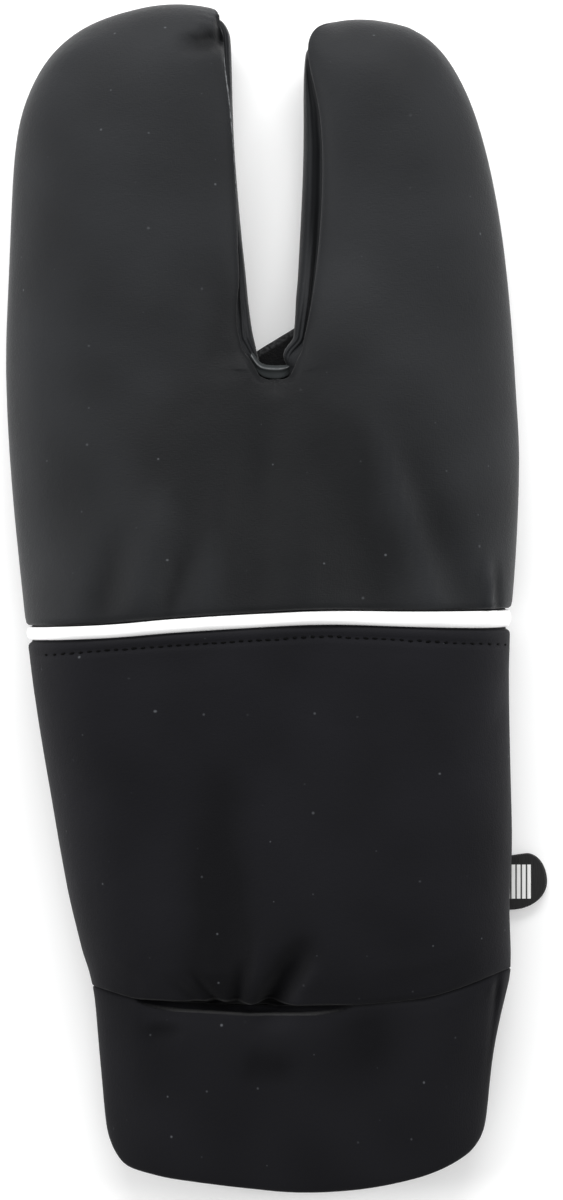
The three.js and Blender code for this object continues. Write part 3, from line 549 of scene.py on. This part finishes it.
def beside_seams(a, b):
    """Edges along the glove that run up to the piping or the cuff's seam."""
    middle_x, middle_y = (a.x + b.x) / 2, (a.y + b.y) / 2
    by_piping = abs(a.y - b.y) > LONG_BY_PIPING and middle_y > PIPING_FROM_Y
    from_seam = middle_y - np.interp(middle_x, CUFF_SEAM_X, CUFF_SEAM_Y)
    return by_piping or (abs(a.y - b.y) > LONG_BY_SEAM and abs(from_seam) < SEAM_REACH)


lower_back = cloth_from("lower_back", "lower_back_panel", 2, loop_cuts=beside_seams)
points = puffed(lower_back, SHELL_PUFF)
sunk = sunk_by(SHELL_FURROWS + LOWER_FURROWS, points[:, 0], points[:, 1])
height = ripple(points, 18, 0.5, seed=2) + ripple(points, 6, 0.12, seed=7) - sunk
height -= crease_dip(points, side=1, deepest_to=0.2, up_by=1.5)
height -= STITCH_GROOVE * bell(over_stitches(points), STITCH_GROOVE_WIDTH)
creased = crease_share(points[:, 0])
height += BILLOW * creased * bell(over_seam(points) - BILLOW_AT, BILLOW_WIDTH)
overhang = bell(over_seam(points) - OVERHANG_AT, OVERHANG_WIDTH) * on_back(points)
points[:, 2] += height * on_back(points)
points[:, 1] -= (OVERHANG - OVERHANG_IN_FURROW * sunk) * creased * overhang
move_points(lower_back, points)
lay_cloth_map(lower_back)
brush_nap_and_paint_light(lower_back, sunk, LOWER_PAINTED_SHADE)

lower = Finish("stretch_cloth")
fuzz = lower.noise(0.45, 2)
# The nap attribute mixes random tone with painted shade and painted highlight from the furrows,
# ridges and strokes.
nap = lower.value("ShaderNodeAttribute", {"attribute_name": "nap"}, output="Fac")
tone = linted(lower, lower.mix(nap, LOWER_DARK, LOWER_LIGHT))
relief = lower.weave(0.32) * 0.8 + fuzz * 0.6 + lower.noise(3, 2) * 0.8
lower_back.data.materials.append(
    lower.surface(
        Base_Color=tone,
        Roughness=fuzz * 0.1 + 0.70,
        Sheen_Weight=0.06,
        Sheen_Roughness=0.45,
        Specular_IOR_Level=0.09,
        Normal=lower.bump(relief, 0.1 * MM),
    )
)
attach(lower_back, "root")
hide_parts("lower_back")


# The topstitching under the piping.
# One row of lockstitch in black thread, which holds the piping's seam allowance down. Each
# stitch sinks into the cloth at its ends.
STITCH_PITCH = 2.0
STITCH_LENGTH, STITCH_SHARES = 1.35, (0.8, 1.1)  # each is this long by a random share
STITCH_WANDER = 0.14
STITCH_SEED = 12
THREAD_RADIUS = 0.28
RAY_START = 60  # a height over every piece, from which the cloth under a place is found


def surface_of(piece):
    return BVHTree.FromPolygons(
        [v.co / MM for v in piece.data.vertices], [p.vertices for p in piece.data.polygons]
    )


def top_at(surface, x, y):
    """The uppermost place of a surface at x, y, or None where there is none."""
    return surface.ray_cast(Vector((x, y, RAY_START)), Vector((0, 0, -1)))[0]


def stitch_row(name, cloth, route):
    """A row of stitches along a route of x, y places, laid on the cloth."""
    surface = surface_of(cloth)
    route = np.array(route, dtype=float)
    steps = np.hypot(*np.diff(route, axis=0).T)
    run = np.concatenate([[0], np.cumsum(steps)])
    chance = np.random.default_rng(STITCH_SEED)
    bm = bmesh.new()
    for at in np.arange(STITCH_PITCH / 2, run[-1], STITCH_PITCH):
        half_length = STITCH_LENGTH / 2 * chance.uniform(*STITCH_SHARES)
        ends = []
        for s in (at - half_length, at + half_length):
            x, y = np.interp(s, run, route[:, 0]), np.interp(s, run, route[:, 1])
            aside = chance.uniform(-STITCH_WANDER, STITCH_WANDER)
            ends.append(top_at(surface, x, y + aside))
        if None in ends:
            continue
        along = (ends[1] - ends[0]).normalized()
        turn = along.to_track_quat("X", "Z").to_matrix().to_4x4()
        size = Matrix.Diagonal((half_length, THREAD_RADIUS, THREAD_RADIUS, 1))
        place = Matrix.Translation((ends[0] + ends[1]) / 2)
        matrix = Matrix.Scale(MM, 4) @ place @ turn @ size
        bmesh.ops.create_uvsphere(bm, u_segments=6, v_segments=4, radius=1, matrix=matrix)
    row = piece_from(bm, name)
    row.data.shade_smooth()
    return row


topstitching = stitch_row("topstitching", lower_back, list(zip(TOPSTITCH_X, TOPSTITCH_Y)))
thread = Finish("black_thread")
twist = thread.noise(0.00015, 1, kind="Object")
topstitching.data.materials.append(
    thread.surface(
        Base_Color=thread.mix(twist, (0.001, 0.001, 0.001, 1), (0.003, 0.003, 0.003, 1)),
        Roughness=0.6,
        Specular_IOR_Level=0.04,
        Normal=thread.bump(twist, 0.05 * MM),
    )
)
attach(topstitching, "root")


# The reflective piping.
# A flat woven tape with a white glass-bead face, folded into the seam across the back.
piping = cloth_from("reflective_piping", "reflective_piping_tape", 2)
points = points_of(piping)
points[:, 2] -= sunk_by(SHELL_FURROWS, points[:, 0], points[:, 1]) * on_back(points)
move_points(piping, points)
lay_cloth_map(piping)
tape = Finish("white_reflective_tape")
beads = tape.noise(0.3, 2)
piping.data.materials.append(
    tape.surface(
        Base_Color=(0.9, 0.9, 0.9, 1),
        Roughness=beads * 0.2 + 0.35,
        Normal=tape.bump(beads, 0.03 * MM),
    )
)
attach(piping, "root")
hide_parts("reflective_piping")


# The gusset of the slit.
# A strip of the same softshell between the back and the palm, down one side of the slit, round
# its bottom and up the other side. It puffs out between its two seams.
Slit = namedtuple("Slit", "y index_wall index_back ring_wall ring_back")
SLIT = [
    Slit(51.2, -3.6, -4.0, 2.3, 2.7),
    Slit(58.5, -5.2, -8.6, 3.2, 6.1),
    Slit(67.6, -6.4, -9.2, 3.9, 7.8),
    Slit(79.0, -7.8, -9.1, 4.5, 9.2),
    Slit(90.4, -9.0, -9.2, 5.1, 10.0),
    Slit(102.0, -10.0, -10.0, 5.5, 10.1),
    Slit(111.0, -10.2, -10.8, 5.5, 9.3),
    Slit(119.0, -10.3, -12.2, 5.6, 7.4),
    Slit(126.0, -10.6, -12.4, 6.3, 6.6),
    Slit(131.3, -11.4, -12.0, 8.2, 8.3),
]
STRIP_PUFF, PUFFED_SHARE = 0.9, 0.6  # the swelling, and the share of the width that it takes
# The recess under the edge of the back. Its place and widths are shares of the strip's width,
# the first width at the bottom of the slit and the second higher up.
RECESS = {"index": 1.7, "ring": 2.4}
RECESS_PLACE = 0.95
RECESS_WIDTH = {"index": (0.11, 0.13), "ring": (0.11, 0.28)}
RECESS_WIDENS = (60, 95)  # along y, as on the next two lines
RECESS_DEEPENS, RECESS_AT_BOTTOM = (54, 72), 0.35
RECESS_FADES, RECESS_AT_TIP = (98, 116), 0.5
STRIP_FULL = (0.6, 2.0)  # the widths of the strip between which its relief comes in
STRIP_LEAN = 0.7  # how much its map follows its lean away from the middle
GUSSET_PULLS = [
    Pull(2.6, 55.0, 4.0, -1.8, 0.0, 0.6),
    Pull(-11.6, 129.0, 4.5, -0.2, 1.8, 0.0),
]
# A painted highlight on the strip's bulge near the bottom of the slit, laid into the nap attribute.
GUSSET_PAINTED_HIGHLIGHT = [
    Furrow(2.6, 58.5, 1.6, 53.0, 1.4, -0.5, 0.3),
]
# How each end of the strip is tucked in behind the back at its fingertip: between two places
# along the slit it comes to turn aside by this much, and its upper edge goes down.
Tuck = namedtuple("Tuck", "side start end dx dy")
TUCKS = [Tuck(-1, 126.6, 130.0, -2.5, 1.4), Tuck(1, 123.6, 126.9, 3.9, 2.9)]
TUCK_UPPER, TUCK_DOWN = (8.5, 12.5), 2.4
UPPER_TURNS = 0.5  # the share of the turn aside that its upper edge makes


def slit_column(column, y):
    return np.interp(y, [row.y for row in SLIT], [getattr(row, column) for row in SLIT])


def strip_relief(points):
    """The strip's swelling, and its recess under the edge of the back."""
    x, y = points[:, 0], points[:, 1]
    relief = np.zeros_like(x)
    deepened = RECESS_AT_BOTTOM + (1 - RECESS_AT_BOTTOM) * smooth_step(y, *RECESS_DEEPENS)
    shallow = (1 - (1 - RECESS_AT_TIP) * smooth_step(y, *RECESS_FADES)) * deepened
    halfway = smooth_step(y, *RECESS_WIDENS)
    for side in ("index", "ring"):
        wall, back = slit_column(side + "_wall", y), slit_column(side + "_back", y)
        wide = np.abs(back - wall)
        on_side = (x < 0) if side == "index" else (x > 0)
        share = np.abs(x - wall) / np.maximum(wide, STRIP_FULL[0])
        swell = STRIP_PUFF * np.sin(np.pi * np.clip(share / PUFFED_SHARE, 0, 1))
        low, high = RECESS_WIDTH[side]
        width = low + halfway * (high - low)
        recess = RECESS[side] * bell(share - RECESS_PLACE, width)
        relief += on_side * smooth_step(wide, *STRIP_FULL) * (swell - shallow * recess)
    return relief


def tucked_in(points):
    """The strip's points with its ends turned in behind the back."""
    moved = points.copy()
    x, y, z = points.T
    upper = smooth_step(z, *TUCK_UPPER)
    for tuck in TUCKS:
        share = smooth_step(y, tuck.start, tuck.end) * (x * tuck.side > 0)
        turned = share * (1 - (1 - UPPER_TURNS) * upper)
        moved[:, 0] += turned * tuck.dx
        moved[:, 1] += turned * tuck.dy
        moved[:, 2] -= share * upper * TUCK_DOWN
    return moved


gusset = cloth_from("slit_gusset", "slit_gusset_strip", 3)
points = points_of(gusset)
sunk = sunk_by([HAND_HOLLOW], points[:, 0], points[:, 1])
points[:, 2] += strip_relief(points) - sunk * on_back(points)
move_points(gusset, pulled(tucked_in(points), GUSSET_PULLS))
x, y, z = points_of(gusset).T
lay_map(gusset, z + STRIP_LEAN * np.abs(x), y + np.abs(x))
brush_nap_and_paint_light(gusset, 0 * sunk, GUSSET_PAINTED_HIGHLIGHT)
gusset.data.materials.append(shell.material)
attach(gusset, "root")
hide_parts("slit_gusset")


# The fold at the bottom of the slit.
# The gusset's allowance is turned down over the seam there and shows as a narrow lip.
# Its crest is coloured pale: a painted highlight where the fold catches the light.
Lip = namedtuple("Lip", "x y back_y")  # the lip's own line, and the line that it is tucked under
LIP = [
    Lip(-6.0, 54.8, 53.0),
    Lip(-5.3, 53.6, 51.8),
    Lip(-4.4, 52.4, 50.3),
    Lip(-3.4, 51.8, 49.4),
    Lip(-1.8, 51.6, 49.1),
    Lip(0.0, 51.5, 49.0),
    Lip(1.6, 51.7, 49.3),
    Lip(2.6, 52.0, 50.2),
]
# Its section: the share of the way from under the back to its own line, and the level.
LIP_SECTION = [(0.0, -1.6), (0.5, -1.5), (0.8, -1.3), (0.92, -0.75), (1.06, -0.9), (1.05, -3.4)]
LIP_LEVEL = 0.35  # how far level 0 lies under the face of the back
LIP_FACE = 0.8  # how far behind the fold that face is looked for
LIP_THICKNESS = 0.5
HIGHLIGHT_SHARES = (0.9, 1.06)  # the part of the section that bears a painted highlight, along the fold's crest

back_surface = surface_of(back_shell)


def extruded(bm, chain):
    """A chain of vertices extruded once: the new vertices, in the same order."""
    edges = [e for e in bm.edges if e.verts[0] in chain and e.verts[1] in chain]
    grown = bmesh.ops.extrude_edge_only(bm, edges=edges)["geom"]
    return [next(e.other_vert(v) for e in v.link_edges if e.other_vert(v) in grown) for v in chain]


bm = bmesh.new()
lip_highlight = bm.verts.layers.float.new("lip_highlight")
section = [bm.verts.new() for _ in LIP_SECTION]
for ends in zip(section, section[1:]):
    bm.edges.new(ends)
for row in LIP:
    if row is not LIP[0]:
        section = extruded(bm, section)
    face = top_at(back_surface, row.x, row.back_y - LIP_FACE)
    for vert, (share, level) in zip(section, LIP_SECTION):
        y = row.back_y + share * (row.y - row.back_y)
        vert.co = Vector((row.x, y, face.z + level - LIP_LEVEL)) * MM
        vert[lip_highlight] = 1.0 if HIGHLIGHT_SHARES[0] < share < HIGHLIGHT_SHARES[1] else 0.0
bmesh.ops.solidify(bm, geom=bm.faces[:], thickness=-LIP_THICKNESS * MM)
bmesh.ops.recalc_face_normals(bm, faces=bm.faces)
slit_fold = piece_from(bm, "slit_fold")
slit_fold.data.shade_smooth()
rounding = slit_fold.modifiers.new("rounding", "SUBSURF")
rounding.levels = rounding.render_levels = 2
lip_finish = Finish("fold_lip_painted_highlight")
tufts = lip_finish.noise(0.0007, 3, kind="Object")
lip_highlight = lip_finish.value("ShaderNodeAttribute", {"attribute_name": "lip_highlight"}, output="Fac")
lip_highlight = lip_highlight.maths("POWER", lip_highlight, 5) * (tufts * 1.4 + 0.2)
# The crest of the lip is coloured pale: a painted highlight.
lip_finish.surface(
    Base_Color=lip_finish.mix(lip_highlight, (0.010, 0.013, 0.014, 1), (0.16, 0.165, 0.17, 1)),
    Roughness=0.9,
    Normal=lip_finish.bump(tufts, 0.025 * MM),
)
slit_fold.data.materials.append(lip_finish.material)
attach(slit_fold, "root")


# The turned-under edge of the index pocket.
# The bonded cloth is turned under at the slit, and a thin uneven tube along the turn is coloured
# lighter than the shell and paler in blots, a painted highlight, so the edge shows as a thin uneven
# line from the fingertip down.
EDGE_TOP, EDGE_BOTTOM, EDGE_STEP = 123.0, 84.0, 0.6
EDGE_RADIUS, EDGE_UNEVEN, EDGE_LEAST = 0.18, 0.05, 0.01
EDGE_FADE_TOP, EDGE_FADE_BOTTOM = 3, 20
EDGE_INSET = 0.15
EDGE_SIDES, EDGE_SEED = 6, 5
ON_INDEX, IN_SLIT = -16, -6  # x on the index pocket, and x in the slit beside it
HALVINGS = 12


def back_ends_at(y):
    """The last place of the back at y, next to the slit."""
    inside, outside = ON_INDEX, IN_SLIT
    for _ in range(HALVINGS):
        middle = (inside + outside) / 2
        hit = top_at(back_surface, middle, y)
        if hit and hit.z > WAIST[0]:
            inside = middle
        else:
            outside = middle
    return top_at(back_surface, inside - EDGE_INSET, y)


chance = np.random.default_rng(EDGE_SEED)
bm = bmesh.new()
ring = bmesh.ops.create_circle(bm, segments=EDGE_SIDES, radius=EDGE_RADIUS * MM)["verts"]
turns = np.arange(EDGE_SIDES) * 2 * math.pi / EDGE_SIDES
for y in np.arange(EDGE_TOP, EDGE_BOTTOM, -EDGE_STEP):
    if y < EDGE_TOP:
        ring = extruded(bm, ring)
    edge = back_ends_at(y)
    fade = smooth_step(EDGE_TOP - y, 0, EDGE_FADE_TOP)
    fade = fade * smooth_step(y - EDGE_BOTTOM, 0, EDGE_FADE_BOTTOM)
    radius = (EDGE_RADIUS + chance.uniform(-EDGE_UNEVEN, EDGE_UNEVEN)) * fade + EDGE_LEAST
    for vert, turn in zip(ring, turns):
        vert.co = (edge + Vector((radius * math.cos(turn), 0, radius * math.sin(turn)))) * MM
bmesh.ops.holes_fill(bm, edges=bm.edges, sides=EDGE_SIDES)
bmesh.ops.recalc_face_normals(bm, faces=bm.faces)
slit_edge = piece_from(bm, "slit_edge_roll")
slit_edge.data.shade_smooth()
edge_highlight = Finish("edge_line_painted_highlight")
edge_blots = edge_highlight.noise(0.0009, 2, kind="Object")
highlight_blots = edge_blots.over(0.5, 0.15)
# The tube is coloured lighter than the shell, paler in blots: a painted highlight.
edge_highlight.surface(
    Base_Color=edge_highlight.mix(highlight_blots, (0.024, 0.026, 0.028, 1), (0.12, 0.125, 0.13, 1)),
    Roughness=0.7,
    Normal=edge_highlight.bump(edge_blots, 0.1 * MM),
)
slit_edge.data.materials.append(edge_highlight.material)
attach(slit_edge, "root")


# The palm and the thumb stall.
# Both are a matt synthetic suede. The stall is folded flat under the palm, and only its tip
# shows, at the bottom of the slit.
THUMB_PULLS = [
    Pull(-5.0, 53.0, 6.0, 0.0, 2.2, 0.0),
    Pull(-2.6, 55.6, 3.0, 0.0, 0.8, 0.0),
    Pull(-0.6, 57.4, 4.0, 0.0, 1.0, 0.0),
    Pull(4.0, 60.0, 4.5, 0.0, 1.3, 0.0),
]
THUMB_FOLD_Y, THUMB_FOLD_SLOPE = 59.1, 0.61  # its tip is folded straight across
THUMB_TIP = (46, 54)  # where its ripple comes in
HIGHLIGHT_WIDTH, HIGHLIGHT_BLUR = 1.5, 0.4  # of the strip along that fold that bears a painted highlight
# The palm's edge at the wrist is taken on to the cuff's seam, which comes in over WRIST.
WRIST = (80, 87)
WRIST_X = (-40, -20, -3, 14, 30, 48)
WRIST_REACH = (2.0, 2.2, 1.0, 2.6, 4.0, 3.2)
palm = cloth_from("palm_panel", "palm", 1)
points = points_of(palm)
at_wrist = smooth_step(-points[:, 1], *WRIST)
points[:, 1] -= at_wrist * np.interp(points[:, 0], WRIST_X, WRIST_REACH)
move_points(palm, points)
thumb_outside = cloth_from("thumb_outside", "thumb_outside_half", 2)
thumb_inside = cloth_from("thumb_inside", "thumb_inside_half", 2)
for half in (thumb_outside, thumb_inside):
    points = pulled(points_of(half), THUMB_PULLS)
    tip = smooth_step(points[:, 1], *THUMB_TIP)
    points[:, 2] += tip * ripple(points, 0.9, 0.35, seed=6)
    fold = THUMB_FOLD_Y + THUMB_FOLD_SLOPE * points[:, 0]
    points[:, 1] = np.minimum(points[:, 1], fold)
    move_points(half, points)


def suede_finish(name, painted_highlight_at_fold=False):
    """Synthetic suede, with a painted highlight in pale dots along the thumb's folded tip if asked
    for.
    """
    suede = Finish(name)
    nap = suede.noise(0.6, 3)
    tone = suede.mix(nap.over(0.5, 0.25), (0.003, 0.003, 0.0034, 1), (0.008, 0.008, 0.0085, 1))
    # Pale dots along the fold: a painted highlight on the rim of the thumb's tip.
    if painted_highlight_at_fold:
        place = suede.node("ShaderNodeSeparateXYZ", inputs={0: suede.place("Object")})
        x, y = Value(suede, place.outputs[0]), Value(suede, place.outputs[1])
        under_fold = x * THUMB_FOLD_SLOPE + THUMB_FOLD_Y * MM - y
        dots = suede.noise(0.7, 1).over(0.5, 0.12) * 0.7 + 0.2
        fold_highlight = (1 - under_fold.over(HIGHLIGHT_WIDTH * MM, HIGHLIGHT_BLUR * MM)) * dots
        tone = suede.mix(fold_highlight, tone, (0.045, 0.046, 0.048, 1))
    return suede.surface(
        Base_Color=tone,
        Roughness=0.9,
        Sheen_Weight=0.06,
        Specular_IOR_Level=0.1,
        Normal=suede.bump(nap + suede.noise(0.25, 2) * 0.5, 0.25 * MM),
    )


palm_suede = suede_finish("synthetic_suede")
thumb_suede = suede_finish("synthetic_suede_painted_highlight_at_fold", painted_highlight_at_fold=True)
for piece, node, cloth in (
    (palm, "palm_panel", palm_suede),
    (thumb_outside, "thumb_outside", thumb_suede),
    (thumb_inside, "thumb_inside", thumb_suede),
):
    lay_cloth_map(piece)
    piece.data.materials.append(cloth)
    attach(piece, "root")
    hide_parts(node)


# The cuff.
# An elastic knit, doubled at the hem and pulled in by the seam, so that the back billows over it.
CUFF_FURROWS = [
    Furrow(-6.0, -106.0, 7.0, -107.0, 2.6, 0.7, 0.5),
    Furrow(20.0, -96.0, 28.0, -116.0, 6.0, 0.6, 0.7),
    Furrow(-28.0, -98.0, -20.0, -98.6, 2.0, 0.6, 0.5),
    Furrow(49.8, -88.0, 47.3, -116.0, 0.8, 1.6, 0.3),
]
# Painted shade in broad bands over the cuff and under the crease, and painted highlight, where the
# depth is negative, just under the crease and beside the side fold.
CUFF_PAINTED_SHADE_AND_HIGHLIGHT = [
    Furrow(-20.0, -103.0, 16.0, -107.5, 6.5, 0.2, 0.5, 0.5),
    Furrow(-5.0, -107.0, 5.0, -107.2, 2.6, 0.3, 0.7, 0.7),
    Furrow(14.0, -99.0, 32.0, -105.0, 11.0, 0.22, 0.7, 0.7),
    Furrow(-29.0, -98.0, -22.0, -98.6, 2.0, 0.3, 0.7, 0.7),
    Furrow(-1.0, -96.8, 6.0, -96.8, 1.8, -0.2, 0.7, 0.7),
    Furrow(-27.0, -95.2, -18.0, -95.8, 1.4, -0.2, 0.7, 0.7),
    Furrow(51.3, -88.0, 49.0, -116.0, 1.2, -0.4, 0.3),
]
CUFF_BILLOW_WIDTH = 5.0
UNDERCUT, UNDERCUT_AT, UNDERCUT_WIDTH = 0.85, 2.7, 0.6  # the crease runs in over the cuff
CUFF_DARK = (0.0036, 0.0036, 0.0046, 1)
CUFF_LIGHT = (0.0088, 0.0088, 0.0108, 1)
cuff = cloth_from("cuff", "knit_cuff", 2, loop_cuts=beside_seams)
points = puffed(cuff, SHELL_PUFF)
sunk = sunk_by(CUFF_FURROWS, points[:, 0], points[:, 1])
height = ripple(points, 16, 0.4, seed=3) - sunk
height -= crease_dip(points, side=-1, deepest_to=1.8, up_by=2.7)
creased = crease_share(points[:, 0])
height -= BILLOW * creased * bell(over_seam(points), CUFF_BILLOW_WIDTH)
undercut = bell(over_seam(points) + UNDERCUT_AT, UNDERCUT_WIDTH) * on_back(points)
points[:, 2] += height * on_back(points)
points[:, 1] += UNDERCUT * creased * undercut
move_points(cuff, points)
lay_cloth_map(cuff)
brush_nap_and_paint_light(cuff, sunk, CUFF_PAINTED_SHADE_AND_HIGHLIGHT)
knit = Finish("elastic_knit")
fuzz = knit.noise(0.5, 2)
# The nap attribute mixes random tone with painted shade and painted highlight from the furrows,
# ridges and strokes.
nap = knit.value("ShaderNodeAttribute", {"attribute_name": "nap"}, output="Fac")
cuff.data.materials.append(
    knit.surface(
        Base_Color=linted(knit, knit.mix(nap, CUFF_DARK, CUFF_LIGHT)),
        Roughness=0.78,
        Sheen_Weight=0.06,
        Sheen_Roughness=0.45,
        Specular_IOR_Level=0.075,
        Normal=knit.bump(knit.noise(0.4, 1, drawn=(1, 5, 1)) * 0.6 + fuzz * 0.7, 0.1 * MM),
    )
)
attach(cuff, "root")
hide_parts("cuff")


# The label in the side seam.
# A small loop of black woven tape with a rounded end, folded into the seam at the root. A plain
# pale patch with even stripes is woven into it.
LABEL_ROOT, LABEL_REACH = 50.9, 61.7
STRAIGHT_BELOW, STRAIGHT_ABOVE = 53.4, 57.0  # where each edge starts to round
LABEL_MIDDLE, LABEL_HALF = -65.2, 6.5
LABEL_LOW, TAPE_THICK, TAPE_GAP = 0.8, 0.55, 0.1
LABEL_DROP = 0.9  # how far its upper edge comes down to the root
LABEL_POINTS = 33  # round its end
SOFT_EDGE = 0.3  # the rounding of a layer's edges, as a share of its thickness
UPPER_SHORTER, UPPER_NARROWER = 0.35, 0.1  # how much the upper layer is smaller at its end
PATCH_ROOT, PATCH_REACH, PATCH_HALF, PATCH_THICK = 51.4, 57.9, 3.9, 0.25
PATCH_SINKS = 0.05  # into the upper layer
STRIPE_PITCH, STRIPE_SHARE, STRIPE_BLUR = 1.2, 0.3, 0.04  # of the patch's stripes, across it
STRIPES_START = 0.4  # how far into a stripe's pitch the patch starts, as a share


def outlined_tab(name, outline, low, thick):
    """A flat tab of tape with soft edges, from the points of its outline."""
    bm = bmesh.new()
    bm.faces.new([bm.verts.new(Vector((x, y, low)) * MM) for x, y in outline])
    grown = bmesh.ops.extrude_face_region(bm, geom=bm.faces[:])
    risen = [part for part in grown["geom"] if isinstance(part, bmesh.types.BMVert)]
    bmesh.ops.translate(bm, verts=risen, vec=(0, 0, thick * MM))
    rim = [e for e in bm.edges if abs(e.verts[0].co.z - e.verts[1].co.z) < 0.01 * MM]
    soft = thick * SOFT_EDGE * MM
    bmesh.ops.bevel(
        bm, geom=rim, offset=soft, segments=2, affect="EDGES", profile=0.5, material=-1
    )
    bmesh.ops.recalc_face_normals(bm, faces=bm.faces)
    return piece_from(bm, name)


def rounded_end(reach, half):
    """The outline of a layer of the label: straight at the root, and fuller towards the fingers."""
    outline = [(LABEL_ROOT, LABEL_MIDDLE - half)]
    for turn in np.linspace(-math.pi / 2, math.pi / 2, LABEL_POINTS):
        straight = STRAIGHT_BELOW if turn < 0 else STRAIGHT_ABOVE
        along = straight + (reach - straight) * math.cos(turn)
        outline.append((along, LABEL_MIDDLE + half * math.sin(turn)))
    return outline + [(LABEL_ROOT, LABEL_MIDDLE + half - LABEL_DROP)]


under_outline = rounded_end(LABEL_REACH, LABEL_HALF)
under_layer = outlined_tab("side_label", under_outline, LABEL_LOW, TAPE_THICK)
upper_low = LABEL_LOW + TAPE_THICK + TAPE_GAP
upper_outline = rounded_end(LABEL_REACH - UPPER_SHORTER, LABEL_HALF - UPPER_NARROWER)
upper_layer = outlined_tab("side_label_upper_layer", upper_outline, upper_low, TAPE_THICK)
PATCH_OUTLINE = [
    (PATCH_ROOT, LABEL_MIDDLE - PATCH_HALF),
    (PATCH_REACH, LABEL_MIDDLE - PATCH_HALF),
    (PATCH_REACH, LABEL_MIDDLE + PATCH_HALF),
    (PATCH_ROOT, LABEL_MIDDLE + PATCH_HALF),
]
patch_low = upper_low + TAPE_THICK - PATCH_SINKS
patch = outlined_tab("label_patch", PATCH_OUTLINE, patch_low, PATCH_THICK)

woven = Finish("woven_label")
ribs = woven.noise(0.0003, 1, kind="Object", drawn=(1, 6, 1))
woven.surface(
    Base_Color=woven.mix(ribs, (0.006, 0.006, 0.006, 1), (0.014, 0.014, 0.014, 1)),
    Roughness=0.55,
    Specular_IOR_Level=0.3,
    Normal=woven.bump(ribs, 0.08 * MM),
)
pale = Finish("pale_striped_patch")
across = pale.node("ShaderNodeSeparateXYZ", inputs={0: pale.place("Object")}).outputs[0]
in_stripe = Value(pale, across) - PATCH_ROOT * MM + STRIPE_PITCH * STRIPES_START * MM
in_stripe = in_stripe.maths("PINGPONG", in_stripe, STRIPE_PITCH / 2 * MM)
stripe = 1 - in_stripe.over(STRIPE_SHARE * STRIPE_PITCH / 2 * MM, STRIPE_BLUR * MM)
ribs = pale.noise(0.0003, 1, kind="Object", drawn=(1, 6, 1))
pale.surface(
    Base_Color=pale.mix(stripe, (0.85, 0.85, 0.84, 1), (0.02, 0.02, 0.02, 1)),
    Roughness=0.6,
    Normal=pale.bump(ribs, 0.06 * MM),
)
for piece, finish in ((under_layer, woven), (upper_layer, woven), (patch, pale)):
    piece.data.materials.append(finish.material)
    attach(piece, "root")
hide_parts("side_tab")
